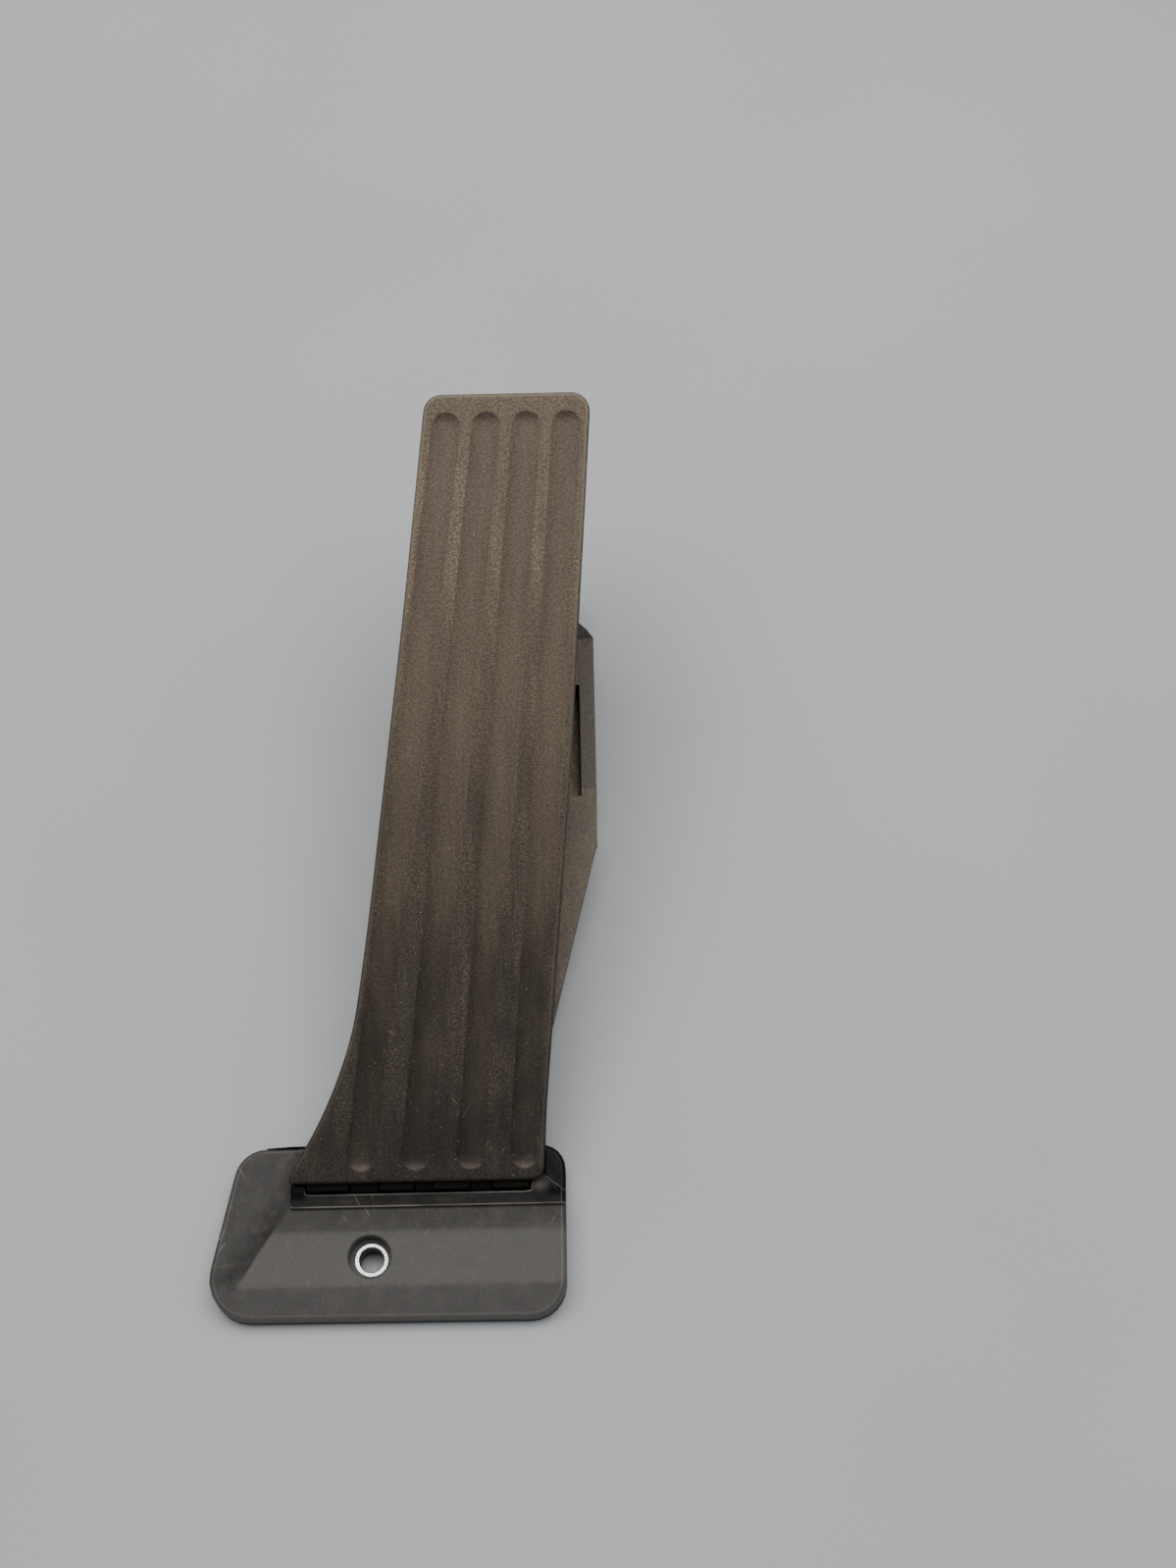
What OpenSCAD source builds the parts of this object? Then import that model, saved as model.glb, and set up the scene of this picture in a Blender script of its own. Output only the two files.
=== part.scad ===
// Floor-mounted accelerator pedal module: a ribbed plastic carrier with its
// foot bolted to the floor, a long grooved pedal pad hinged at its lower end,
// and a fork lever that carries the pad's movement to an angle sensor.
// Millimetres. The origin is the mounting sleeve's axis on the floor face,
// X to the right, Y up the pad, Z out of the floor.

/* [Foot] */
// Width of the foot along its front edge
foot_front_w = 102.2; // [96:0.1:108]
// Width of the foot along its rear edge
foot_rear_w = 92.9; // [88:0.1:98]
// Distance of the front edge from the mounting sleeve
foot_front_y = 16.5; // [15:0.5:20]
// Distance of the rear edge from the mounting sleeve
foot_rear_y = 32.7; // [30:0.1:36]
// Height of the raised band across the foot
band_h = 11.6; // [10:0.1:13]
// Height of the low front skirt
skirt_h = 4.6; // [3.5:0.1:6]
// Wall thickness of the moulding
wall = 2.4; // [2:0.1:3]
// Diameter of the well around the mounting sleeve
well_d = 12.4; // [12:0.1:14]
// Depth of the well below the band
well_depth = 4.6; // [3:0.1:6]

/* [Mounting sleeve] */
// Outside diameter of the pressed-in steel sleeve
sleeve_od = 10; // [9:0.1:11]
// Bore of the sleeve, for an M6 screw
sleeve_id = 6.8; // [6.4:0.1:7.2]
// Height of the sleeve
sleeve_h = 7.4; // [6.5:0.1:8.5]

/* [Hinge] */
// Distance of the hinge pin behind the mounting sleeve
hinge_y = 22; // [21:0.1:23]
// Height of the hinge pin above the floor
hinge_z = 9.5; // [9:0.1:10]
// Diameter of the hinge pin
hinge_d = 4; // [3.5:0.1:4.2]
// Angle of the released pad above the floor
rest_angle = 23; // [21:0.5:25]
// Travel of the pad in degrees
travel = 14.5; // [13:0.5:16]

/* [Pad] */
// Length of the pad face
pad_len = 222.5; // [218:0.5:226]
// Thickness of the pad plate
pad_t = 3.2; // [2.8:0.1:3.6]
// Full depth of the pad at its skirt
pad_depth = 7; // [6.5:0.1:7.5]
// Width of each of the four long grooves
groove_w = 8.2; // [7.6:0.1:8.8]
// Depth of the grooves
groove_d = 1; // [0.7:0.1:1.4]

/* [Housing] */
// Slope of the housing top, rise over run
top_slope = 0.15; // [0.14:0.005:0.155]
// Height of the housing top above the hinge line
top_base = 7; // [6.5:0.1:7]
// Thickness of the rear cover plate
rear_cover_t = 2; // [1.6:0.1:2.2]

/* [Lever] */
// Distance of the lever axle behind the mounting sleeve
axle_y = 156; // [155:0.5:158]
// Height of the lever axle above the floor
axle_z = 14; // [13.5:0.1:14.5]
// Diameter of the lever axle
axle_d = 6; // [5:0.5:6]
// Distance from the axle to the guide roller
lever_len = 48; // [47:0.5:49]
// Released direction of the lever
lever_angle = 141.4; // [140:0.1:143]
// Lever turn for each degree of pad travel
lever_ratio = 2.47; // [2.4:0.01:2.5]
// Diameter of the guide roller
roller_d = 8; // [7:0.5:8]

/* [Sensor] */
// Diameter of the rotor that carries the magnets
rotor_d = 17; // [15:0.5:18]
// Thickness of the sensor board
board_t = 1.2; // [1:0.1:1.6]
// Thickness of the wire in the return springs
spring_wire = 1.6; // [1.4:0.1:1.8]

/* [Hidden] */

plastic_black = [0.14, 0.14, 0.13];
plastic_brown = [0.27, 0.24, 0.21];
plastic_violet = [0.19, 0.17, 0.18];
steel = [0.66, 0.67, 0.68];
zinc = [0.76, 0.75, 0.72];
rubber = [0.07, 0.07, 0.07];
board_green = [0.10, 0.28, 0.16];
acetal_white = [0.85, 0.84, 0.80];
copper_tin = [0.78, 0.72, 0.55];

fit = 0.05;
press = 0.02;
big = 400;

// ---------------------------------------------------------------- helpers

function unit(v) = v / norm(v);

// Points of one rounded corner of an outline
function corner(p, v, q, r, n) =
  let (a = unit(p - v))
  let (b = unit(q - v))
  let (half = acos(a * b) / 2)
  let (c = v + unit(a + b) * r / sin(half))
  let (t0 = v + a * r / tan(half) - c)
  let (t1 = v + b * r / tan(half) - c)
  let (a0 = atan2(t0[1], t0[0]))
  let (a1 = atan2(t1[1], t1[0]))
  let (d = (a1 - a0 + 540) % 360 - 180)
  [for (i = [0:n]) c + r * [cos(a0 + d * i / n), sin(a0 + d * i / n)]];

// Outline from [x, y, radius] vertices
function rounded(v, n = 6) =
  let (m = len(v))
  [for (i = [0:m - 1])
    let (p = v[(i + m - 1) % m])
    let (c = v[i])
    let (q = v[(i + 1) % m])
    for (w = c[2] > 0
      ? corner([p[0], p[1]], [c[0], c[1]], [q[0], q[1]], c[2], n)
      : [[c[0], c[1]]]) w];

// The same counter-clockwise [x, y, radius] vertices moved inwards by d
function inset(v, d) =
  let (m = len(v))
  [for (i = [0:m - 1])
    let (p = v[(i + m - 1) % m])
    let (c = v[i])
    let (q = v[(i + 1) % m])
    let (e1 = unit([c[0] - p[0], c[1] - p[1]]))
    let (e2 = unit([q[0] - c[0], q[1] - c[1]]))
    let (n1 = [-e1[1], e1[0]])
    let (n2 = [-e2[1], e2[0]])
    let (s = d * (n1 + n2) / (1 + n1 * n2))
    [c[0] + s[0], c[1] + s[1], max(c[2] - d, 0)]];

// Extrudes a (y, z) outline along X
module along_x(x0, x1) {
  translate([x0, 0, 0])
    rotate([90, 0, 90])
      linear_extrude(x1 - x0)
        children();
}

// A round bar along X
module bar_x(x0, x1, y, z, d) {
  translate([x0, y, z])
    rotate([0, 90, 0])
      cylinder(d = d, h = x1 - x0, $fn = 64);
}

// A box from two corners
module box(a, b) {
  translate(a)
    cube([b[0] - a[0], b[1] - a[1], b[2] - a[2]]);
}

// ------------------------------------------------------------------- foot

foot_left = -47.5;
foot_v = [
  [foot_left, 0.6 - foot_front_y, 11],
  [foot_left + foot_front_w, -foot_front_y, 10],
  [foot_left + foot_front_w + 0.2, foot_rear_y, 7],
  [foot_left + foot_front_w + 0.2 - foot_rear_w, foot_rear_y, 9]
];

rail_y0 = 14.3;
rail_y1 = 18.2;
rail_top = 11.2;
trough_y1 = 27.4;
trough_floor = 3;
ear_left = [-22.8, -18.6];
ear_right = [45, 54.2];
ear_top = 12.5;

foot_profile = [
  [-foot_front_y - 1, 0], [trough_y1 + 8, 0], [trough_y1 + 8, 9], [rail_y0, 9.6],
  [7.2, band_h], [-8.2, band_h - 0.4], [-foot_front_y, skirt_h],
  [-foot_front_y - 1, skirt_h]
];

foot_inner_profile = [
  [-foot_front_y + 1, -1], [12, -1], [12, 9.6 - wall],
  [6.2, band_h - wall], [-7.4, band_h - wall - 0.4], [-foot_front_y + 1, skirt_h - 1.6]
];

// Plan of the left wing, which slopes away behind a slanting step
wing_plan = [
  [-60, -6.3], [-35.8, -6.3], [-23.2, 14.3], [-22.8, 16], [-22.8, 60], [-60, 60]
];

step_slope = 26;

// Space above the face that falls away to the left of the slanting step
module above_step(z) {
  translate([wing_plan[1][0], wing_plan[1][1], z])
    rotate([0, 0, atan2(20.6, 12.6)])
      rotate([-step_slope, 0, 0])
        translate([-60, -40, 0])
          cube([140, 120, 60]);
}

module foot_block() {
  difference() {
    intersection() {
      linear_extrude(20)
        polygon(rounded(foot_v));
      along_x(-60, 70)
        polygon(foot_profile);
    }
    intersection() {
      translate([0, 0, -1])
        linear_extrude(30)
          polygon(wing_plan);
      along_x(-61, 0)
        polygon([[-6, 11.3], [50, 5.8], [50, 40], [-6, 40]]);
      above_step(11.3);
    }
    // Lower corner behind the right block
    translate([0, 0, 6.8])
      linear_extrude(20)
        polygon([[54.2, 18.2], [70, 18.2], [70, 50], [48.6, 50], [48.6, 22.6]]);
  }
}

module hinge_supports() {
  // Rail in front of the trough
  box([ear_left[0], rail_y0, 0], [ear_right[1] - 0.2, rail_y1, rail_top]);
  // Left ear and right block
  intersection() {
    along_x(ear_left[0], ear_left[1])
      polygon([[rail_y0, 0], [28.5, 0], [28.5, 9], [25.6, ear_top], [19.2, ear_top],
        [17, rail_top], [rail_y0, rail_top]]);
    linear_extrude(20)
      polygon([[-23, 13], [-18, 13], [-18, 29], [-20, 29], [-22.8, 22], [-23, 22]]);
  }
  intersection() {
    along_x(ear_right[0], ear_right[1])
      polygon([[rail_y0, 0], [27, 0], [27, 9.6], [25, ear_top], [19.2, ear_top],
        [17, rail_top], [rail_y0, rail_top]]);
    linear_extrude(20)
      polygon([[44, 13], [54.2, 13], [54.2, 18.2], [48.6, 22.6], [48.6, 28], [44, 28]]);
  }
}

bearings = [[-6, 2], [12.4, 17.2], [28.2, 33.9]];

module hinge_bearings() {
  for (b = bearings) {
    bar_x(b[0], b[1], hinge_y, hinge_z, 7.2);
    box([b[0], hinge_y - 3.6, trough_floor - 1], [b[1], hinge_y + 3.6, hinge_z]);
  }
}

// ---------------------------------------------------------------- housing

function top_at(y) = top_base + top_slope * (y - hinge_y);

// Plan of the top plate, and of the walls, which stand back under its slanting edge
plate_right = [[49, 26, 0], [50.6, 61.3, 0], [65.9, 120.2, 0], [66, 136.5, 0]];
wall_right = [
  [48.4, 26, 0], [48.4, 61.9, 0], [63.5, 120.8, 0], [63.5, 124, 0], [66, 127, 0],
  [66, 136.5, 0]
];
housing_rest = [
  [61.2, 136.5, 0], [61.2, 192, 2], [58, 198, 4], [28, 198, 6], [22, 190, 6],
  [22, 126, 10], [4, 96, 12], [-8, 58, 10], [-15.5, 34, 0], [-15.5, 26, 0]
];
plate_v = concat(plate_right, housing_rest);
housing_v = concat(wall_right, housing_rest);
plate_t = 3;

module housing_block(low, d) {
  intersection() {
    translate([0, 0, -1])
      linear_extrude(60)
        polygon(rounded(d > 0 ? inset(housing_v, d) : housing_v, 4));
    along_x(-40, 80)
      polygon([[20, -1 + (low ? 0 : 1)], [230, -1 + (low ? 0 : 1)],
        [230, top_at(230) - d], [20, top_at(20) - d]]);
  }
}

module top_plate() {
  intersection() {
    linear_extrude(60)
      polygon(rounded(plate_v, 4));
    along_x(-40, 80)
      polygon([[20, top_at(20) - plate_t], [230, top_at(230) - plate_t],
        [230, top_at(230)], [20, top_at(20)]]);
  }
}

chamber_x = [25, 51.5];
chamber_y = [94, 167];
sensor_x = [54, 61.2];
sensor_y = [144.5, 186];
chamber_floor = rear_cover_t + 0.3;

// Stiffening cells under the carrier, open towards the floor
cell_ys = [[33, 45], [47, 59], [61, 73], [75, 91]];
cell_xs = [[-14, 1], [3, 19], [21, 37], [39, 55], [57, 70]];

module housing_cells() {
  intersection() {
    housing_block(true, wall);
    union() {
      for (cy = cell_ys)
        for (cx = cell_xs)
          box([cx[0], cy[0], -1], [cx[1], cy[1], 40]);
      // Flank cells beside the mechanism chamber
      box([57, 94, -1], [70, 112, 40]);
      box([57, 114, -1], [70, 132, 40]);
      box([2, 94, -1], [22.6, 118, 40]);
    }
  }
}

foot_cells_x = [[-45, -31], [-29, -12], [12, 29], [31, 52]];

module foot_cells() {
  difference() {
    intersection() {
      translate([0, 0, -1])
        linear_extrude(20)
          polygon(rounded(inset(foot_v, wall)));
      along_x(-60, 60)
        polygon(foot_inner_profile);
      union() {
        for (cx = foot_cells_x)
          box([cx[0], -16, -1], [cx[1], 11, 20]);
        box([-10, -16, -1], [10, -9.4, 20]);
      }
    }
    intersection() {
      translate([0, 0, -2])
        linear_extrude(30)
          polygon(wing_plan);
      along_x(-61, 0)
        polygon([[-6, 8.6], [50, 3.1], [50, 40], [-6, 40]]);
      above_step(8.6);
    }
  }
}

board_y = [146.5, 184.5];
board_z = [5, 15];
board_x = 58.6;
connector_x = [41, 57];
connector_z = [5, 21];
pin_xs = [45, 49, 53];
pin_zs = [10.5, 15.5];
pin_s = 0.9;

// Rear cover screws, [x, y]
rear_screws = [[28, 98], [48.6, 98], [28.5, 172], [28.5, 188], [55, 189.5]];
// Sensor cover screws, [y, z]
side_screws = [[140.2, 8], [177, 20.6]];
// Blind sockets for locating pegs, [x, y, height of the socket's end]
locator = [[38, 190, 10], [-30, 24, 6.4]];
rear_cover_v = [
  [23.8, 93, 3], [53, 93, 3], [53, 139, 0], [59.4, 142, 0], [59.4, 194, 3], [23.8, 194, 3]
];

module carrier_solid() {
  foot_block();
  hinge_supports();
  hinge_bearings();
  housing_block(false, 0);
  top_plate();
  // Connector shroud on the top end
  translate([0, 197, 0])
    rotate([-90, 0, 0])
      linear_extrude(17)
        polygon(rounded([[connector_x[0], -connector_z[1], 3],
          [connector_x[1], -connector_z[1], 3], [connector_x[1], -connector_z[0], 3],
          [connector_x[0], -connector_z[0], 3]], 4));
}

module carrier() {
  color(plastic_black)
    difference() {
      carrier_solid();
      foot_cells();
      housing_cells();
      // Trough for the pad knuckles
      difference() {
        box([ear_left[1], rail_y1, trough_floor], [ear_right[0], trough_y1, 30]);
        for (b = bearings) {
          bar_x(b[0], b[1], hinge_y, hinge_z, 7.2);
          box([b[0], hinge_y - 3.6, trough_floor - 1], [b[1], hinge_y + 3.6, hinge_z]);
        }
      }
      // Hinge pin bore, blind in the right block
      bar_x(-30, 48, hinge_y, hinge_z, hinge_d + 2 * press);
      // Sleeve bore and its well
      translate([0, 0, -1])
        cylinder(d = sleeve_od + 2 * press, h = 30, $fn = 64);
      translate([0, 0, band_h - well_depth])
        cylinder(d = well_d, h = 20, $fn = 64);
      mechanism_room();
      sensor_room();
      connector_room();
      fastener_holes();
    }
}

module mechanism_room() {
  difference() {
    box([chamber_x[0], chamber_y[0], -1], [chamber_x[1], chamber_y[1], 60]);
    // The chamber keeps its roof except above the lever
    difference() {
      along_x(0, 80)
        polygon([[90, top_at(90) - wall], [230, top_at(230) - wall], [230, 60], [90, 60]]);
      box([31.4, 97, 0], [46.6, 154.8, 60]);
    }
    // Screw bosses
    for (s = [rear_screws[0], rear_screws[1]])
      translate([s[0], s[1], chamber_floor])
        cylinder(d = 6.6, h = 20, $fn = 40);
  }
  // Seats of the two axle bushes
  bar_x(chamber_x[0] - 1.8, chamber_x[0] + 1, axle_y, axle_z, 10 + 2 * press);
  bar_x(chamber_x[1] - 1, sensor_x[0] + 1, axle_y, axle_z, 9 + 2 * press);
  // Rebate of the rear cover
  translate([0, 0, -1])
    linear_extrude(chamber_floor + 1)
      polygon(rounded(rear_cover_v, 4));
}

module sensor_room() {
  // Rotor space and the lower board space beside it
  box([sensor_x[0], sensor_y[0], -1], [57, 168, 22.8]);
  box([56.5, sensor_y[0], 3.6], [70, sensor_y[1], 15.8]);
  // Open pocket between the housing and the sensor cover
  box([58.4, 133.9, 19.4], [61.6, 168.4, 60]);
  box([56.4, 133.9, 19.4], [58.5, 142.4, 60]);
}

module connector_room() {
  box([33, 171, -1], [58, sensor_y[1], 24.4]);
  // Inside of the connector shroud
  translate([0, 199, 0])
    rotate([-90, 0, 0])
      linear_extrude(30)
        polygon(rounded([[connector_x[0] + 1.8, -connector_z[1] + 1.8, 2],
          [connector_x[1] - 1.8, -connector_z[1] + 1.8, 2],
          [connector_x[1] - 1.8, -connector_z[0] - 1.8, 2],
          [connector_x[0] + 1.8, -connector_z[0] - 1.8, 2]], 4));
  for (x = pin_xs)
    for (z = pin_zs)
      box([x - pin_s / 2 - press, 180, z - pin_s / 2 - press],
        [x + pin_s / 2 + press, 205, z + pin_s / 2 + press]);
}

module fastener_holes() {
  for (s = rear_screws)
    translate([s[0], s[1], 0])
      cylinder(d = 2.6, h = 9.5, $fn = 32);
  for (s = side_screws)
    bar_x(57.2, 63, s[0], s[1], 2.6);
  for (p = locator)
    translate([p[0], p[1], -1])
      cylinder(d = 7, h = p[2] + 1, $fn = 48);
}

module mounting_sleeve() {
  color(zinc)
    difference() {
      cylinder(d = sleeve_od, h = sleeve_h, $fn = 64);
      translate([0, 0, -1])
        cylinder(d = sleeve_id, h = 20, $fn = 64);
    }
}

module hinge_pin() {
  color(steel)
    bar_x(-22.2, 47.8, hinge_y, hinge_z, hinge_d);
}

module rear_cover() {
  color(plastic_black)
    difference() {
      translate([0, 0, 0.3])
        linear_extrude(rear_cover_t - 0.1)
          polygon(rounded(inset(rear_cover_v, 0.2), 4));
      for (s = rear_screws)
        translate([s[0], s[1], -1])
          cylinder(d = 3.2, h = 10, $fn = 32);
      for (s = rear_screws)
        translate([s[0], s[1], -1])
          cylinder(d = 5.4, h = 2.3, $fn = 32);
      translate([locator[0][0], locator[0][1], -1])
        cylinder(d = 8, h = 10, $fn = 48);
    }
}

module rear_cover_screws() {
  color(steel)
    for (s = rear_screws)
      translate([s[0], s[1], 0])
        difference() {
          union() {
            translate([0, 0, 0.1])
              cylinder(d = 2.5, h = 8.7, $fn = 32);
            translate([0, 0, 0.1])
              cylinder(d = 5, h = 1.18, $fn = 32);
          }
          translate([0, 0, -1])
            cylinder(d = 2.2, h = 1.8, $fn = 6);
        }
}

// ----------------------------------------------------------------- sensor

cover_plan = [
  [61.6, 136.7], [66.1, 136.7], [66.1, 184.6], [64.2, 189.4], [61.6, 193.8]
];
cover_side = rounded([
  [136, 1.6, 0], [195, 1.6, 3], [195, 20, 2], [184.5, 28.2, 4], [172, 28.4, 6],
  [136, 23.8, 0]
], 4);
module sensor_cover() {
  color(plastic_violet)
    difference() {
      intersection() {
        union() {
          linear_extrude(60)
            polygon(cover_plan);
          // Lip that closes the joint, low along the pocket and full height beyond it
          box([61.24, 136.9, 17.6], [62, 191, 19.3]);
          box([61.24, 168.6, 17.6], [62, 191, 60]);
        }
        along_x(60, 67)
          polygon(cover_side);
      }
      // Shallow dish on the inside
      box([61, 147, 6.5], [63.6, 180, 12.5]);
      // Pocket that lightens the upper half
      box([60, 144, 19.3], [63.8, 168, 22]);
      for (s = side_screws)
        bar_x(60, 70, s[0], s[1], 3);
      for (s = side_screws)
        bar_x(64.6, 70, s[0], s[1], 5.4);
    }
}

module cover_seal() {
  color(rubber)
    difference() {
      box([61.22, 137, 2.4], [61.58, 188, 17.2]);
      box([61, 144.5, 3.6], [62, 186, 15.8]);
      for (s = side_screws)
        bar_x(60, 70, s[0], s[1], 5.4);
    }
}

module cover_screws() {
  color(steel)
    for (s = side_screws)
      difference() {
        union() {
          bar_x(57.8, 65, s[0], s[1], 2.5);
          bar_x(64.62, 65.8, s[0], s[1], 5);
        }
        translate([65.1, s[0], s[1]])
          rotate([0, 90, 0])
            cylinder(d = 2.2, h = 2, $fn = 6);
      }
}

module sensor_board() {
  color(board_green)
    difference() {
      box([board_x, board_y[0], board_z[0]], [board_x + board_t, board_y[1], board_z[1]]);
      for (y = [board_y[0] + 2.5, board_y[1] - 2.5])
        bar_x(board_x - 1, board_x + 3, y, 7.4, 2);
    }
}

module board_components() {
  color([0.08, 0.08, 0.09]) {
    // The two field sensors facing the rotor
    box([board_x - 1.1, axle_y - 5, axle_z - 4.6], [board_x, axle_y - 1, axle_z]);
    box([board_x - 1.1, axle_y + 1, axle_z - 4.6], [board_x, axle_y + 5, axle_z]);
    // Small chip parts on the outer face
    for (i = [0:4])
      box([board_x + board_t, 150 + 6 * i, 8], [board_x + board_t + 0.7, 152 + 6 * i, 9.2]);
  }
}

module connector_pins() {
  color(copper_tin)
    for (i = [0:2])
      for (z = pin_zs)
        union() {
          box([pin_xs[i] - pin_s / 2, 174 + 3 * i, z - 3],
            [pin_xs[i] + pin_s / 2, 174 + 3 * i + pin_s, z + pin_s / 2]);
          box([pin_xs[i] - pin_s / 2, 174 + 3 * i, z - pin_s / 2],
            [pin_xs[i] + pin_s / 2, 207, z + pin_s / 2]);
          box([pin_xs[i] - pin_s / 2, 174 + 3 * i, z - 3],
            [board_x, 174 + 3 * i + pin_s, z - 3 + pin_s]);
        }
}

module axle_bush(x0, x1, od) {
  color(acetal_white)
    difference() {
      bar_x(x0, x1, axle_y, axle_z, od);
      bar_x(x0 - 1, x1 + 1, axle_y, axle_z, axle_d + 2 * fit);
    }
}

module axle_bush_left() {
  axle_bush(chamber_x[0] - 1.7, chamber_x[0] + 1, 10);
}

module axle_bush_right() {
  axle_bush(chamber_x[1] - 0.8, sensor_x[0], 9);
}

// Wound return spring: a tail, the coils round the axle, and a second tail
coil_r = 6.3;
coil_turns = 3;
coil_steps = 20;
wire_sides = 6;

function coil_path(x0, dx, a0, s) =
  let (n = coil_turns * coil_steps)
  concat(
    [[x0, coil_r * cos(a0) + s * 9 * sin(a0), coil_r * sin(a0) - s * 9 * cos(a0)]],
    [for (i = [0:n]) [x0 + dx * i / n, coil_r * cos(a0 + s * 360 * i / coil_steps),
      coil_r * sin(a0 + s * 360 * i / coil_steps)]]);

// Solid wire of polygonal section along a path wound about X
module wire(path, r) {
  n = len(path);
  pts = [for (i = [0:n - 1])
    let (t = unit(path[min(i + 1, n - 1)] - path[max(i - 1, 0)]))
    let (u = unit(cross(t, [1, 0, 0])))
    let (v = cross(u, t))
    for (k = [0:wire_sides - 1])
      path[i] + r * (cos(360 * k / wire_sides) * u + sin(360 * k / wire_sides) * v)];
  w = wire_sides;
  faces = concat(
    [[for (k = [0:w - 1]) k]],
    [[for (k = [0:w - 1]) (n - 1) * w + w - 1 - k]],
    [for (i = [0:n - 2]) for (k = [0:w - 1])
      [i * w + k, (i + 1) * w + k, (i + 1) * w + (k + 1) % w]],
    [for (i = [0:n - 2]) for (k = [0:w - 1])
      [i * w + k, (i + 1) * w + (k + 1) % w, i * w + (k + 1) % w]]);
  translate([0, axle_y, axle_z])
    polyhedron(points = pts, faces = faces, convexity = 6);
}

module return_spring_left() {
  color(steel)
    wire(coil_path(27.2, 5, 180, 1), spring_wire / 2);
}

module return_spring_right() {
  color(steel)
    wire(coil_path(50, -4.4, 180, 1), spring_wire / 2);
}

stop_y = 186;

module full_travel_stop() {
  color(rubber)
    intersection() {
      translate([36, stop_y, 0])
        cylinder(d = 12, h = 60, $fn = 48);
      along_x(20, 60)
        polygon([[170, top_at(170) + 0.01], [200, top_at(200) + 0.01],
          [200, top_at(200) + 2.1], [170, top_at(170) + 2.1]]);
    }
}

// -------------------------------------------------------------------- pad

pad_y0 = hinge_y - pad_depth * sin(rest_angle);
pad_z0 = hinge_z + pad_depth * cos(rest_angle);

// Places things drawn in the pad's own frame: x, distance up the face, height
module pad_frame() {
  translate([0, pad_y0, pad_z0])
    rotate([rest_angle, 0, 0])
      children();
}

// Points on the pad's two long edges, up the right side and down the left side
pad_right = [
  [49.6, 16], [51.7, 39.7], [53.2, 56.2], [56.3, 89.2], [59.6, 125.1], [62, 160],
  [64.3, 188.7], [65.9, 212]
];
pad_left = [
  [18.2, 210], [16.1, 192.5], [12.8, 165], [9.3, 137.5], [5.6, 110], [1.9, 82],
  [-0.4, 66], [-2.1, 55], [-3.6, 46.5], [-5.7, 38.5], [-8.7, 30], [-12.1, 22],
  [-16.2, 14], [-19.8, 8]
];

// Smooth line through points, with n pieces between two of them
function curve(p, n) =
  let (m = len(p))
  let (e = concat([2 * p[0] - p[1]], p, [2 * p[m - 1] - p[m - 2]]))
  concat(
    [for (i = [1:m - 1]) for (j = [0:n - 1])
      let (t = j / n)
      0.5 * (2 * e[i] + (e[i + 1] - e[i - 1]) * t
        + (2 * e[i - 1] - 5 * e[i] + 4 * e[i + 1] - e[i + 2]) * t * t
        + (3 * e[i] - e[i - 1] - 3 * e[i + 1] + e[i + 2]) * t * t * t)],
    [p[m - 1]]);

pad_v = concat(
  [[-23.6, 0.5, 1], [48.7, 0.5, 3.8]],
  [for (q = curve(pad_right, 3)) [q[0], q[1], 0]],
  [[66.7, pad_len, 5.2], [19.7, pad_len, 5.2]],
  [for (q = curve(pad_left, 3)) [q[0], q[1], 0]]);

// Groove centre lines: lower end, upper end
grooves = [
  [[-2.4, 8], [25.6, 213.4]], [[12.9, 8], [36.9, 213.4]],
  [[28.5, 8], [48.3, 213.4]], [[43.5, 8], [59.6, 213.4]]
];
groove_r = (groove_w * groove_w / 4 + groove_d * groove_d) / (2 * groove_d);

module groove_cut(g) {
  dx = g[1][0] - g[0][0];
  dy = g[1][1] - g[0][1];
  l = norm([dx, dy]);
  translate([g[0][0], g[0][1], 0])
    rotate([0, 0, -atan2(dx, dy)])
      intersection() {
        translate([0, -10, groove_r - groove_d])
          rotate([-90, 0, 0])
            cylinder(r = groove_r, h = l + 20, $fn = 160);
        union() {
          box([-groove_w / 2 - 0.15, 0, -2], [groove_w / 2 + 0.15, l, 2]);
          translate([0, 0, -2])
            cylinder(d = groove_w + 0.3, h = 4, $fn = 64);
          translate([0, l, -2])
            cylinder(d = groove_w + 0.3, h = 4, $fn = 64);
        }
      }
}

knuckles = [[-18.1, -6.5], [2.5, 11.9], [17.7, 27.7], [34.4, 44.5]];
guide_x = [36.5, 41.5];
slot_w = roller_d + 0.4;

// Centre of the roller at a pad turn of f degrees, in the pad's own frame
function roller_at(f) =
  let (b = lever_angle + lever_ratio * f)
  let (dy = axle_y + lever_len * cos(b) - hinge_y)
  let (dz = axle_z + lever_len * sin(b) - hinge_z)
  let (a = f - rest_angle)
  [dy * cos(a) - dz * sin(a), dy * sin(a) + dz * cos(a) - pad_depth];

slot_n = 12;
slot_path = [for (i = [0:slot_n]) roller_at(travel * i / slot_n)];

function slot_dir(i) = unit(slot_path[min(i + 1, slot_n)] - slot_path[max(i - 1, 0)]);

function slot_side(i, k) =
  let (d = slot_dir(i))
  slot_path[i] + k * slot_w / 2 * [-d[1], d[0]];

function slot_cap(i, a) =
  let (d = slot_dir(i))
  let (b = atan2(d[1], d[0]))
  [for (j = [1:9]) slot_path[i] + slot_w / 2 * [cos(b + a - j * 18), sin(b + a - j * 18)]];

slot_outline = concat(
  [for (i = [0:slot_n]) slot_side(i, 1)], slot_cap(slot_n, 90),
  [for (i = [slot_n:-1:0]) slot_side(i, -1)], slot_cap(0, -90));

guide_outline = rounded([
  [74, -3, 0], [79, -15, 5], [84, -20, 4], [104, -20, 4], [113, -13, 6], [117, -3, 0]
], 4);

rib_ss = [26, 52, 126, 152, 176, 200];

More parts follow.
